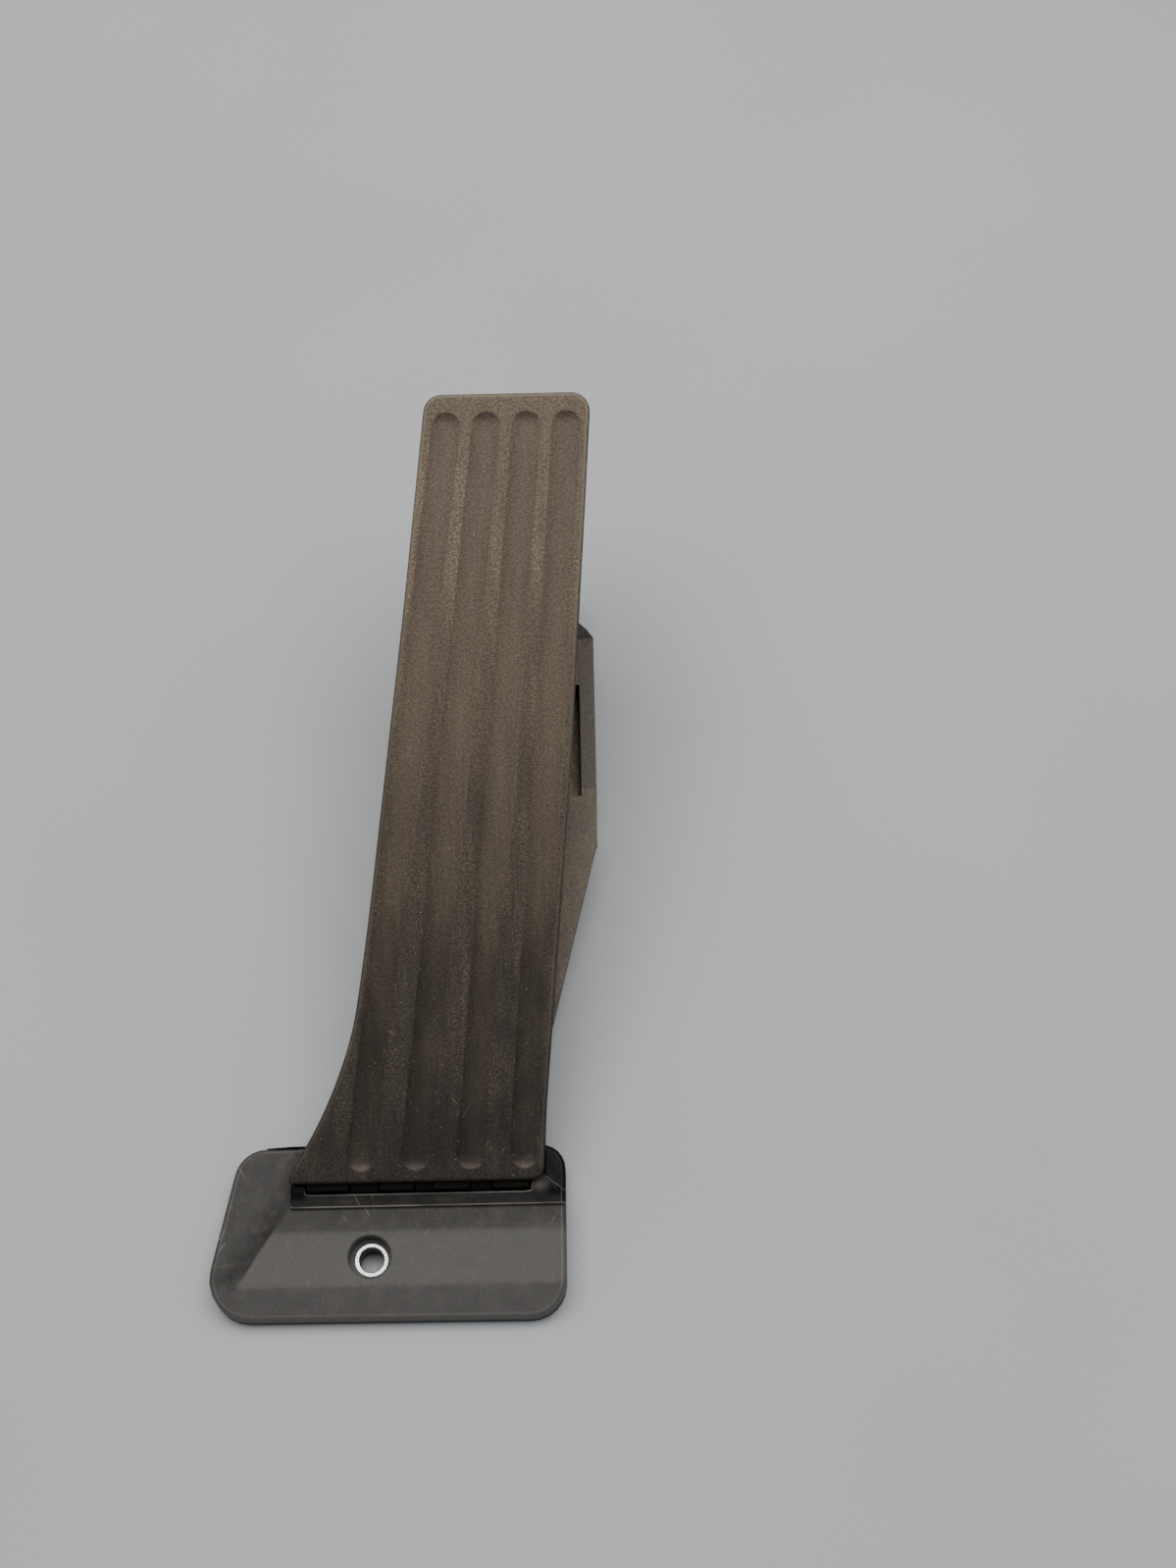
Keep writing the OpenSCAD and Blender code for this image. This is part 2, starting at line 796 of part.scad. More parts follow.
module pedal_pad() {
  color(plastic_brown)
    pad_frame()
      difference() {
        union() {
          translate([0, 0, -pad_t])
            linear_extrude(pad_t)
              polygon(rounded(pad_v));
          // Skirt round the edge
          difference() {
            translate([0, 0, -pad_depth])
              linear_extrude(pad_depth - 1)
                polygon(rounded(pad_v));
            translate([0, 0, -pad_depth - 1])
              linear_extrude(pad_depth - pad_t + 1)
                polygon(rounded(inset(pad_v, 1.9)));
            box([-40, -5, -pad_depth - 1], [70, 10, -pad_t]);
          }
          // Cross ribs and two long ribs
          intersection() {
            translate([0, 0, -pad_depth])
              linear_extrude(pad_depth - 1)
                polygon(rounded(inset(pad_v, 1)));
            union() {
              for (s = rib_ss)
                box([-30, s, -pad_depth], [70, s + 1.8, -2]);
              box([22.4, 12, -6.4], [24.2, 219, -2]);
              box([guide_x[0] + 1.4, 12, -6.4], [guide_x[1] - 1.4, 219, -2]);
            }
          }
          // Landing for the rubber stop
          box([29, 176, -pad_depth], [43, 186, -2]);
          // Slotted guide for the lever's roller
          along_x(guide_x[0], guide_x[1])
            polygon(guide_outline);
          // Hinge knuckles
          for (k = knuckles) {
            bar_x(k[0], k[1], 0, -pad_depth, 7.2);
            box([k[0], -1.6, -pad_depth], [k[1], 7, -2]);
          }
        }
        bar_x(-30, 60, 0, -pad_depth, hinge_d + 2 * fit);
        for (g = grooves)
          groove_cut(g);
        along_x(guide_x[0] - 1, guide_x[1] + 1)
          polygon(slot_outline);
      }
}

// ------------------------------------------------------------------ lever

cheeks = [[33.4, 35.9], [42.1, 44.6]];
roller_y = axle_y + lever_len * cos(lever_angle);
roller_z = axle_z + lever_len * sin(lever_angle);

// Side outline of a cheek, from the axle towards the roller
cheek_side = rounded([
  [-6.4, -6.4, 6], [10, -6.2, 6], [lever_len - 8, -3.6, 6], [lever_len + 4, -3.8, 3.7],
  [lever_len + 4, 3.8, 3.7], [lever_len - 8, 3.6, 6], [10, 6.2, 6], [-6.4, 6.4, 6]
], 4);

module lever_frame() {
  translate([0, axle_y, axle_z])
    rotate([lever_angle, 0, 0])
      children();
}

module lever_fork() {
  color(plastic_black)
    lever_frame()
      difference() {
        union() {
          for (c = cheeks)
            along_x(c[0], c[1])
              polygon(cheek_side);
          bar_x(33.4, 44.6, 0, 0, 12);
          // Web between the cheeks
          box([34, 5, -1.2], [44, lever_len - 31, 1.2]);
        }
        bar_x(30, 50, 0, 0, axle_d + 2 * press);
        bar_x(30, 50, lever_len, 0, 3 + 2 * press);
      }
}

module lever_axle() {
  color(steel)
    bar_x(23.6, 56.8, axle_y, axle_z, axle_d);
}

module friction_washer() {
  color(acetal_white)
    difference() {
      bar_x(44.7, 45.2, axle_y, axle_z, 10);
      bar_x(44, 46, axle_y, axle_z, axle_d + 2 * press);
    }
}

module roller_pin() {
  color(steel)
    bar_x(33.2, 44.8, roller_y, roller_z, 3);
}

module guide_roller() {
  color(acetal_white)
    difference() {
      bar_x(36.6, 41.4, roller_y, roller_z, roller_d);
      bar_x(36, 42, roller_y, roller_z, 3 + 2 * fit);
    }
}

module sensor_rotor() {
  color(acetal_white)
    difference() {
      bar_x(54.3, 56.6, axle_y, axle_z, rotor_d);
      bar_x(54, 57, axle_y, axle_z, axle_d + 2 * press);
      for (a = [0:90:270])
        translate([0, axle_y, axle_z])
          rotate([a, 0, 0])
            box([55.2, 4.4, -1.55], [57, 7.3, 1.55]);
    }
}

module rotor_magnets() {
  color([0.35, 0.35, 0.36])
    for (a = [0:90:270])
      translate([0, axle_y, axle_z])
        rotate([a, 0, 0])
          box([55.25, 4.45, -1.5], [56.6, 7.25, 1.5]);
}

carrier();
rear_cover();
rear_cover_screws();
mounting_sleeve();
hinge_pin();
sensor_cover();
cover_seal();
cover_screws();
sensor_board();
board_components();
connector_pins();
axle_bush_left();
axle_bush_right();
return_spring_left();
return_spring_right();
full_travel_stop();
pedal_pad();
lever_fork();
lever_axle();
friction_washer();
roller_pin();
guide_roller();
sensor_rotor();
rotor_magnets();
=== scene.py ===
import math

import bmesh
import bpy
import numpy as np
from mathutils import Matrix, Vector
from mathutils.geometry import delaunay_2d_cdt


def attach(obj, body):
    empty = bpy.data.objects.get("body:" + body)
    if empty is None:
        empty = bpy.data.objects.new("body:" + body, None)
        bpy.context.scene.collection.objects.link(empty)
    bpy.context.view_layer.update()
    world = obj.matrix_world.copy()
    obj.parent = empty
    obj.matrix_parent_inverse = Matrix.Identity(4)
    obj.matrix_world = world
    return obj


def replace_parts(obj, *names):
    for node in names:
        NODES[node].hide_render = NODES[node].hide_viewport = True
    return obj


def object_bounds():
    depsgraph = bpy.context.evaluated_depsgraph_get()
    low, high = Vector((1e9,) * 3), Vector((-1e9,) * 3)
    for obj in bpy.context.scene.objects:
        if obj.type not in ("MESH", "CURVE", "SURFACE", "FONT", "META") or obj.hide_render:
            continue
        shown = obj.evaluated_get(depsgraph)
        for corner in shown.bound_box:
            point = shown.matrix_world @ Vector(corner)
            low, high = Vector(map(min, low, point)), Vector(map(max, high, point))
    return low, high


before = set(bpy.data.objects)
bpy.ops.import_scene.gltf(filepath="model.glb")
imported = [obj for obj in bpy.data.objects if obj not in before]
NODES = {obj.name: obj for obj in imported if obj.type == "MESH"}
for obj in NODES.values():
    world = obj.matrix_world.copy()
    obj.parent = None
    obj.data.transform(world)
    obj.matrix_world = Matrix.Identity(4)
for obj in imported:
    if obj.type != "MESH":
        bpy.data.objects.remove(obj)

CAD_LOW, CAD_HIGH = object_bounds()
MM = 0.001
BLACK = (0, 0, 0)


# ---------------------------------------------------------------- materials


class Nodes:
    """A short way to write a node material."""

    # Places of the colour sockets of a Mix node
    MIX_FACTOR, MIX_A, MIX_B, MIX_RESULT = 0, 6, 7, 2

    def __init__(self, name):
        self.mat = bpy.data.materials.new(name)
        self.mat.use_nodes = True
        self.tree = self.mat.node_tree
        self.tree.nodes.clear()
        self.out = self.add("ShaderNodeOutputMaterial")
        self.bsdf = self.add("ShaderNodeBsdfPrincipled")
        self.link(self.bsdf.outputs[0], self.out.inputs["Surface"])
        self.where = self.add("ShaderNodeTexCoord").outputs["Object"]

    def add(self, kind, **props):
        node = self.tree.nodes.new(kind)
        for key, value in props.items():
            setattr(node, key, value)
        return node

    def link(self, a, b):
        self.tree.links.new(a, b)

    def put(self, node, name, value):
        """Set an input to a number, a colour or another node's output."""
        socket = node.inputs[name]
        if isinstance(value, bpy.types.NodeSocket):
            self.link(value, socket)
        elif isinstance(value, tuple):
            socket.default_value = (*value, 1.0)
        else:
            socket.default_value = value

    def math(self, op, a, b=0.0, c=None, clamp=False):
        node = self.add("ShaderNodeMath", operation=op, use_clamp=clamp)
        self.put(node, 0, a)
        self.put(node, 1, b)
        if c is not None:
            self.put(node, 2, c)
        return node.outputs[0]

    def noise(self, scale, detail=4.0, rough=0.55, stretch=None, turn=None, offset=None):
        where = self.where
        if stretch or turn or offset:
            m = self.add("ShaderNodeMapping")
            m.inputs["Scale"].default_value = stretch or (1, 1, 1)
            m.inputs["Rotation"].default_value = turn or (0, 0, 0)
            m.inputs["Location"].default_value = offset or (0, 0, 0)
            self.link(where, m.inputs["Vector"])
            where = m.outputs[0]
        n = self.add("ShaderNodeTexNoise")
        self.link(where, n.inputs["Vector"])
        n.inputs["Scale"].default_value = scale
        n.inputs["Detail"].default_value = detail
        n.inputs["Roughness"].default_value = rough
        return n.outputs["Fac"]

    def ramp(self, value, lo, hi, a=0.0, b=1.0, kind="SMOOTHSTEP"):
        """Goes from a to b as the value goes from lo to hi."""
        n = self.add("ShaderNodeMapRange", interpolation_type=kind)
        self.link(value, n.inputs["Value"])
        n.inputs["From Min"].default_value = lo
        n.inputs["From Max"].default_value = hi
        n.inputs["To Min"].default_value = a
        n.inputs["To Max"].default_value = b
        return n.outputs[0]

    def mix(self, fac, a, b):
        """Colour a where fac is 0 and colour b where it is 1."""
        n = self.add("ShaderNodeMix", data_type="RGBA")
        self.put(n, self.MIX_FACTOR, fac)
        self.put(n, self.MIX_A, a)
        self.put(n, self.MIX_B, b)
        return n.outputs[self.MIX_RESULT]

    def attr(self, name):
        """A float attribute stored on the mesh."""
        return self.add("ShaderNodeAttribute", attribute_name=name).outputs["Fac"]

    def stops(self, value, colors):
        """A colour that changes along a value, from (place, colour) stops."""
        n = self.add("ShaderNodeValToRGB")
        r = n.color_ramp
        r.interpolation = "EASE"
        while len(r.elements) < len(colors):
            r.elements.new(0.5)
        for e, (place, _) in zip(r.elements, colors):
            e.position = place
        for e, (_, color) in zip(r.elements, colors):
            e.color = (*color, 1.0)
        self.link(value, n.inputs[0])
        return n.outputs[0]

    def scale(self, color, factor):
        """A colour made lighter or darker by a factor."""
        n = self.add("ShaderNodeVectorMath", operation="SCALE")
        self.link(color, n.inputs[0])
        self.link(factor, n.inputs["Scale"])
        return n.outputs[0]

    def upward(self):
        """How far each flat face looks up, from -1 to 1, without smooth shading."""
        return self.split(self.add("ShaderNodeNewGeometry").outputs["True Normal"])[2]

    def split(self, vector=None):
        """The x, y and z of a vector, or of the place on the piece."""
        n = self.add("ShaderNodeSeparateXYZ")
        self.link(vector or self.where, n.inputs[0])
        return n.outputs

    def bump(self, *layers):
        """Layers are (height, distance in metres), coarsest first."""
        normal = None
        for height, distance in layers:
            n = self.add("ShaderNodeBump")
            n.inputs["Strength"].default_value = 1.0
            n.inputs["Distance"].default_value = distance
            self.link(height, n.inputs["Height"])
            if normal is not None:
                self.link(normal, n.inputs["Normal"])
            normal = n.outputs[0]
        self.link(normal, self.bsdf.inputs["Normal"])

    def finish(self, color, rough, metallic=0.0, specular=0.5):
        """Set the shader's own inputs and give the material."""
        self.put(self.bsdf, "Base Color", color)
        self.put(self.bsdf, "Roughness", rough)
        self.put(self.bsdf, "Metallic", metallic)
        self.put(self.bsdf, "Specular IOR Level", specular)
        return self.mat


def scratches(n, angle, scale=1500.0, length=14.0, amount=0.66, seed=0.0):
    """Thin straight marks, scattered: 1 on a mark, 0 elsewhere."""
    m = n.add("ShaderNodeMapping", vector_type="TEXTURE")
    m.inputs["Rotation"].default_value = (0, 0, angle)
    m.inputs["Scale"].default_value = (1.0, length, length * 0.5)
    m.inputs["Location"].default_value = (seed, seed * 0.7, 0)
    n.link(n.where, m.inputs["Vector"])
    t = n.add("ShaderNodeTexNoise")
    n.link(m.outputs[0], t.inputs["Vector"])
    t.inputs["Scale"].default_value = scale
    t.inputs["Detail"].default_value = 1.0
    t.inputs["Roughness"].default_value = 0.4
    line = n.ramp(t.outputs["Fac"], amount, amount + 0.06)
    area = n.noise(scale * 0.06, 2.0, 0.5, offset=(seed * 0.3, 3.1 + seed, 0))
    return n.math("MULTIPLY", line, n.ramp(area, 0.52, 0.7), clamp=True)


def mottle_of(n, scale=150.0):
    """Slow changes of tone in a moulding."""
    return n.noise(scale, 5.0, 0.65)


def speckle_of(n, scale=2400.0):
    """The finest changes of tone in a moulding."""
    return n.noise(scale, 2.0, 0.6)


def grain_of(n, height=0.00004, drift=0.00012):
    """The mould's pebble texture, with a slow waviness under it."""
    n.bump(
        (n.noise(30.0, 3.0), drift),
        (n.noise(700.0, 3.0), height * 1.5),
        (n.noise(2600.0, 2.0, 0.5), height),
    )


def moulded(
    name, low, high, rough=(0.42, 0.62), dust=None, marks=0.4, specular=0.3, level=(0.45, 0.9)
):
    """Moulded plastic: pebble texture, slight mottling, dust on top and light scratches."""
    n = Nodes(name)
    mottle = mottle_of(n)
    color = n.mix(n.ramp(mottle, 0.3, 0.7), low, high)
    if dust:
        uneven = n.ramp(mottle, 0.25, 0.6, 0.6, 1.0)
        color = n.mix(n.math("MULTIPLY", n.ramp(n.upward(), *level), uneven), color, dust)
    color = n.mix(n.ramp(speckle_of(n), 0.35, 0.65, 0.55, 1.0), BLACK, color)
    line = n.math("MAXIMUM", scratches(n, 0.35, seed=1.3), scratches(n, -0.62, seed=4.1))
    line = n.math("MULTIPLY", line, n.ramp(n.upward(), 0.5, 0.8, 0.0, marks))
    pale = tuple(min(1.0, c * 2.2 + 0.05) for c in (dust or high))
    color = n.mix(line, color, pale)
    grain_of(n)
    return n.finish(color, n.ramp(mottle, 0.3, 0.7, *rough), specular=specular)


def swing(n, value, lo, hi, amount):
    """A factor that varies round 1 by the amount, as the value goes from lo to hi."""
    about = n.math("SUBTRACT", n.ramp(value, lo, hi, 0.0, 2.0), 1.0)
    return n.math("MULTIPLY_ADD", about, amount, 1.0)


def pad_grit(n, color, along, groove):
    """Pale grains of dust, most on the ridges of the upper half."""
    dusty = n.ramp(along, 105.0, 175.0, 0.5, 1.0)
    dusty = n.math("MULTIPLY", dusty, n.ramp(along, 10.0, 60.0, 0.35, 1.0))
    dusty = n.math("MULTIPLY", dusty, n.ramp(along, 196.0, 214.0, 1.0, 0.3))
    grains = n.ramp(n.noise(2600.0, 1.0, 0.5, offset=(3, 1, 0)), 0.56, 0.68)
    patch = n.ramp(n.noise(120.0, 3.0, 0.6, (1.0, 0.2, 1.0)), 0.42, 0.6)
    ridge = n.ramp(groove, 0.0, 1.0, 1.0, 0.25)
    amount = n.math("MULTIPLY", n.math("MULTIPLY", grains, patch), n.math("MULTIPLY", dusty, ridge))
    return n.mix(n.math("MULTIPLY", amount, 0.85), color, GRIT_COLOR)


def pad_coarse(n, color, groove):
    """Coarser grain, weaker in the grooves."""
    coarse = n.ramp(n.noise(1150.0, 3.0, 0.7, offset=(5, 9, 0)), 0.36, 0.64, 0.7, 1.29)
    calm = n.math("MULTIPLY_ADD", groove, -0.4, 1.0)
    return n.scale(color, n.math("MULTIPLY_ADD", n.math("SUBTRACT", coarse, 1.0), calm, 1.0))


def pad_cups(n, color):
    """The round ends of the grooves: a painted highlight at the low end, which faces the light, and
    painted shade at the high one.
    """
    cup = n.attr("cup")
    patchy = n.ramp(n.noise(700.0, 3.0), 0.3, 0.6, 0.45, 1.0)
    # painted highlight on the low groove ends, broken up by noise
    color = n.mix(n.math("MULTIPLY", n.ramp(cup, 0.2, 0.5, 0.0, 0.6), patchy), color, CUP_HIGHLIGHT)
    # painted shade on the high groove ends
    return n.mix(n.ramp(cup, -0.42, -0.12, 0.35, 0.0), color, CUP_SHADE)


def pad_marks(n, color):
    """Fine fibres along the pad, stray scratches across it and pale specks."""
    fibre = scratches(n, 0.02, 1700.0, 16.0, 0.66, 2.2)
    stray = scratches(n, -0.5, 1900.0, 12.0, 0.69, 5.5)
    stray = n.math("MAXIMUM", stray, scratches(n, 0.8, 2100.0, 9.0, 0.70, 7.5))
    marks = n.math("MAXIMUM", n.math("MULTIPLY", fibre, 0.45), stray)
    color = n.mix(n.math("MULTIPLY", marks, 0.55), color, MARK_COLOR)
    speck = n.ramp(n.noise(1300.0, 1.0, 0.5, offset=(7, 2, 0)), 0.75, 0.79, 0.0, 0.7)
    return n.mix(speck, color, SPECK_COLOR)


def pad_stain(n, color, along):
    """Blotches, strongest on the lower third."""
    low_part = n.ramp(along, 30.0, 110.0, 1.0, 0.0)
    stain = n.noise(110.0, 5.0, 0.7, (1.0, 0.4, 1.0), offset=(1.7, 0.4, 0))
    amount = n.math("MULTIPLY_ADD", low_part, 0.22, 0.05)
    return n.scale(color, swing(n, stain, 0.32, 0.68, amount))


def pad_rim(n, color, along, place):
    """A pale bead round the face, partly wear and partly painted highlight, and a line of painted
    shade outside it.
    """
    rim = n.attr("rim")
    bead = n.math("MULTIPLY", n.ramp(rim, 0.35, 0.6), n.ramp(rim, 0.8, 1.25, 1.0, 0.0))
    bead = n.math("MULTIPLY", bead, n.ramp(along, 2.5, 6.0))
    # the bead: partly wear, partly painted highlight
    color = n.mix(n.math("MULTIPLY", bead, 0.6), color, n.stops(place, RIM_WEAR_AND_HIGHLIGHT_COLORS))
    # painted shade along the outer edge of the face, stronger higher up
    depth = n.ramp(along, 60.0, 190.0, 0.4, 0.75)
    border = n.math("MULTIPLY", n.ramp(rim, 0.06, 0.34, 1.0, 0.0), depth)
    return n.mix(border, color, RIM_SHADE)


def pad_face():
    """The pad's face: dusty near the top, dark near the foot, smoother ridges between."""
    n = Nodes("pad_face_plastic")
    flat = n.add("ShaderNodeCombineXYZ")
    for axis, name in enumerate(("across", "along")):
        n.put(flat, axis, n.math("MULTIPLY", n.attr(name), MM))
    n.where = flat.outputs[0]
    along = n.attr("along")
    groove = n.attr("fill")
    wander = n.noise(60.0, 4.0, 0.6, (1.0, 0.35, 1.0))
    place = n.math("MULTIPLY_ADD", wander, 16.0, n.math("SUBTRACT", along, 8.0))
    place = n.ramp(place, 0.0, PAD_LENGTH, kind="LINEAR")
    color = n.mix(groove, n.stops(place, RIDGE_COLORS), n.stops(place, GROOVE_COLORS))
    fine = speckle_of(n, 2300.0)
    color = n.scale(color, n.ramp(fine, 0.32, 0.68, 0.56, 1.1))
    # painted light and shade on the groove walls, from the wall attribute
    color = n.scale(color, n.math("ADD", n.attr("wall"), 1.0))
    color = pad_grit(n, color, along, groove)
    color = pad_coarse(n, color, groove)
    color = pad_cups(n, color)
    brush = n.noise(520.0, 4.0, 0.65, (1.0, 0.07, 1.0))
    color = n.scale(color, swing(n, brush, 0.3, 0.7, n.ramp(along, 60.0, 150.0, 0.13, 0.05)))
    color = pad_marks(n, color)
    color = pad_stain(n, color, along)
    color = pad_rim(n, color, along, place)
    grain_of(n, 0.00005)
    return n.finish(color, n.ramp(fine, 0.3, 0.7, 0.5, 0.68), specular=0.3)


def underside():
    """The pad's sides and back: the same brown without dust, paler higher up, and near black at the
    hinge as painted shade.
    """
    n = Nodes("pad_underside_plastic")
    mottle = mottle_of(n)
    along = n.split()[1]
    uneven = n.ramp(mottle, 0.3, 0.7)
    plain = n.mix(uneven, (0.036, 0.029, 0.022), (0.052, 0.042, 0.032))
    pale = n.mix(uneven, (0.07, 0.057, 0.045), (0.095, 0.077, 0.06))
    color = n.mix(n.ramp(along, 0.08, 0.2), plain, pale)
    # painted shade: near black round the hinge in the slot
    color = n.mix(n.ramp(along, 0.024, 0.034), (0.013, 0.012, 0.01), color)
    color = n.mix(n.ramp(speckle_of(n), 0.35, 0.65, 0.6, 1.0), BLACK, color)
    grain_of(n)
    return n.finish(color, n.ramp(mottle, 0.3, 0.7, 0.6, 0.8), specular=0.08)


def foot_marks(n, color, tone):
    """Scratches, and scuffs and a faint tint that fade on the dark areas."""
    marks = scratches(n, 0.5, 1300.0, 12.0, 0.69, 1.7)
    marks = n.math("MAXIMUM", marks, scratches(n, -0.55, 1300.0, 10.0, 0.69, 4.4))
    marks = n.math("MAXIMUM", marks, scratches(n, 0.05, 1500.0, 16.0, 0.70, 8.1))
    color = n.mix(n.math("MULTIPLY", marks, 0.4), color, (0.3, 0.27, 0.24))
    scuff = n.noise(420.0, 4.0, 0.7, (1.0, 0.55, 1.0), (0, 0, 0.6))
    scuff = n.ramp(scuff, 0.46, 0.68, 0.0, 0.19)
    scuff = n.math("MULTIPLY", scuff, n.ramp(tone, 0.0, 0.15, 0.12, 1.0))
    color = n.mix(scuff, color, (0.17, 0.145, 0.125))
    tint = n.ramp(n.noise(200.0, 3.0, 0.6, offset=(4, 4, 0)), 0.4, 0.62, 0.0, 0.3)
    return n.mix(n.math("MULTIPLY", tint, tone), color, (0.1, 0.105, 0.088))


def foot_plastic():
    """The foot: grey-black, its tone per area painted light and shade, paler along the edges with
    wear and painted highlight.
    """
    n = Nodes("foot_plastic")
    mottle = mottle_of(n, 140.0)
    tone = n.attr("tone")
    # the tone attribute holds painted light and shade for each area
    color = n.mix(tone, BLACK, (0.2, 0.186, 0.176))
    color = n.mix(n.ramp(mottle, 0.3, 0.72, 0.16, 0.0), color, BLACK)
    color = n.mix(n.ramp(speckle_of(n), 0.3, 0.7, 0.22, 0.0), color, BLACK)
    streak = n.noise(300.0, 3.0, 0.6, (0.12, 1.0, 1.0), (0, 0, 0.04))
    color = n.mix(n.ramp(streak, 0.58, 0.75, 0.0, 0.12), color, (0.2, 0.18, 0.16))
    color = foot_marks(n, color, tone)
    patchy = n.ramp(n.noise(90.0, 3.0), 0.3, 0.62, 0.4, 0.9)
    # painted highlight and wear along the rim bead, rail and slot edges
    shine = n.math("MULTIPLY", n.math("MAXIMUM", n.attr("bead"), n.attr("edge")), patchy)
    color = n.mix(n.math("MINIMUM", shine, 1.0), color, (0.32, 0.28, 0.245))
    grain_of(n, 0.00004, 0.00006)
    return n.finish(color, n.ramp(mottle, 0.3, 0.7, 0.45, 0.6), specular=0.2)


def metal(name, color, rough=(0.22, 0.42)):
    """Plated or plain steel with fine marks."""
    n = Nodes(name)
    blotch = mottle_of(n, 160.0)
    fine = n.noise(1500.0, 3.0, 0.6)
    dark = tuple(c * 0.62 for c in color)
    n.bump((blotch, 0.00006), (fine, 0.00002))
    shade = n.mix(n.ramp(blotch, 0.35, 0.7), dark, color)
    return n.finish(shade, n.ramp(fine, 0.3, 0.7, *rough), metallic=1.0)


def plated_sleeve():
    """Zinc-plated steel, bright on the ring, with painted shade down the bore."""
    n = Nodes("sleeve_zinc")
    x, y = n.split()[:2]
    r = n.math("SQRT", n.math("ADD", n.math("MULTIPLY", x, x), n.math("MULTIPLY", y, y)))
    blotch = n.noise(420.0, 4.0, 0.6)
    fine = n.noise(2600.0, 3.0, 0.6)
    color = n.mix(n.ramp(blotch, 0.3, 0.7), (0.50, 0.50, 0.52), (0.86, 0.86, 0.88))
    # painted shade down the bore
    color = n.mix(n.ramp(r, *SLEEVE_BORE), (0.012, 0.012, 0.012), color)
    n.bump((blotch, 0.0001), (fine, 0.00003))
    return n.finish(color, n.ramp(fine, 0.3, 0.7, 0.2, 0.42), metallic=1.0)


def simple(name, color, rough, scale=500.0):
    """One plain colour, a little uneven in tone and surface."""
    n = Nodes(name)
    uneven = n.noise(scale, 4.0)
    dark = tuple(c * 0.75 for c in color)
    n.bump((n.noise(scale * 3, 3.0), 0.00003))
    shade = n.mix(n.ramp(uneven, 0.3, 0.7), dark, color)
    return n.finish(shade, n.ramp(uneven, 0.3, 0.7, rough - 0.06, rough + 0.08))


# Length of the pad's face
PAD_LENGTH = 222.5
# Radii, in metres, between which the sleeve's ring turns into the painted shade of its bore
SLEEVE_BORE = (0.00345, 0.00362)
# Colours along the pad, from its foot at 0 to its top at 1
GROOVE_COLORS = [
    (0.05, (0.042, 0.033, 0.024)),
    (0.22, (0.052, 0.041, 0.028)),
    (0.42, (0.118, 0.090, 0.063)),
    (0.62, (0.160, 0.121, 0.086)),
    (0.92, (0.172, 0.130, 0.098)),
]
RIDGE_COLORS = [
    (0.05, (0.043, 0.034, 0.026)),
    (0.22, (0.061, 0.049, 0.036)),
    (0.45, (0.086, 0.066, 0.047)),
    (0.64, (0.135, 0.103, 0.073)),
    (0.80, (0.192, 0.146, 0.102)),
]
# Colours of the pale bead round the face, partly wear and partly painted highlight
RIM_WEAR_AND_HIGHLIGHT_COLORS = [
    (0.0, (0.095, 0.082, 0.068)),
    (0.45, (0.13, 0.106, 0.084)),
    (1.0, (0.29, 0.24, 0.185)),
]
# Other colours of the pad's face
# Painted highlight and painted shade for the ends of the grooves
CUP_HIGHLIGHT = (0.13, 0.096, 0.076)
CUP_SHADE = (0.02, 0.016, 0.012)
GRIT_COLOR = (0.46, 0.34, 0.21)
MARK_COLOR = (0.26, 0.215, 0.16)
SPECK_COLOR = (0.45, 0.38, 0.29)
RIM_SHADE = (0.014, 0.012, 0.01)

carrier_mat = moulded("carrier_plastic", (0.026, 0.026, 0.024), (0.045, 0.044, 0.041))
housing_mat = moulded(
    "housing_plastic", (0.045, 0.039, 0.033), (0.07, 0.06, 0.049), dust=(0.262, 0.206, 0.151)
)
foot_mat = foot_plastic()
pad_mat = moulded("pad_plastic", (0.05, 0.04, 0.032), (0.09, 0.072, 0.056))
pad_face_mat = pad_face()
under_mat = underside()
# The carrier inside the hinge slot, near black as painted shade
trough_shade_mat = moulded(
    "trough_painted_shade",
    (0.018, 0.017, 0.015),
    (0.027, 0.026, 0.023),
    rough=(0.75, 0.9),
    marks=0.1,
    specular=0.06,
)
cover_mat = moulded(
    "cover_plastic",
    (0.03, 0.027, 0.026),
    (0.045, 0.04, 0.038),
    dust=(0.195, 0.162, 0.127),
    level=(0.86, 0.99),
)
lever_mat = moulded("lever_plastic", (0.02, 0.02, 0.02), (0.035, 0.035, 0.034))
white_mat = simple("white_acetal", (0.72, 0.70, 0.64), 0.4)
sleeve_mat = plated_sleeve()
steel_mat = metal("pin_steel", (0.55, 0.55, 0.56))
# The hinge pin, near black as painted shade so that it shows no glints between the knuckles
pin_shade_mat = metal("hinge_pin_painted_shade", (0.05, 0.05, 0.052), (0.5, 0.7))
spring_mat = metal("spring_steel", (0.32, 0.32, 0.34), (0.28, 0.45))
rubber_mat = simple("stop_rubber", (0.018, 0.018, 0.018), 0.8, scale=900.0)
board_mat = simple("board_laminate", (0.03, 0.16, 0.07), 0.35)
chip_mat = simple("chip_resin", (0.02, 0.02, 0.022), 0.5)
contact_mat = metal("contact_tin", (0.66, 0.60, 0.42))
magnet_mat = metal("magnet_nickel", (0.30, 0.30, 0.31), (0.4, 0.6))

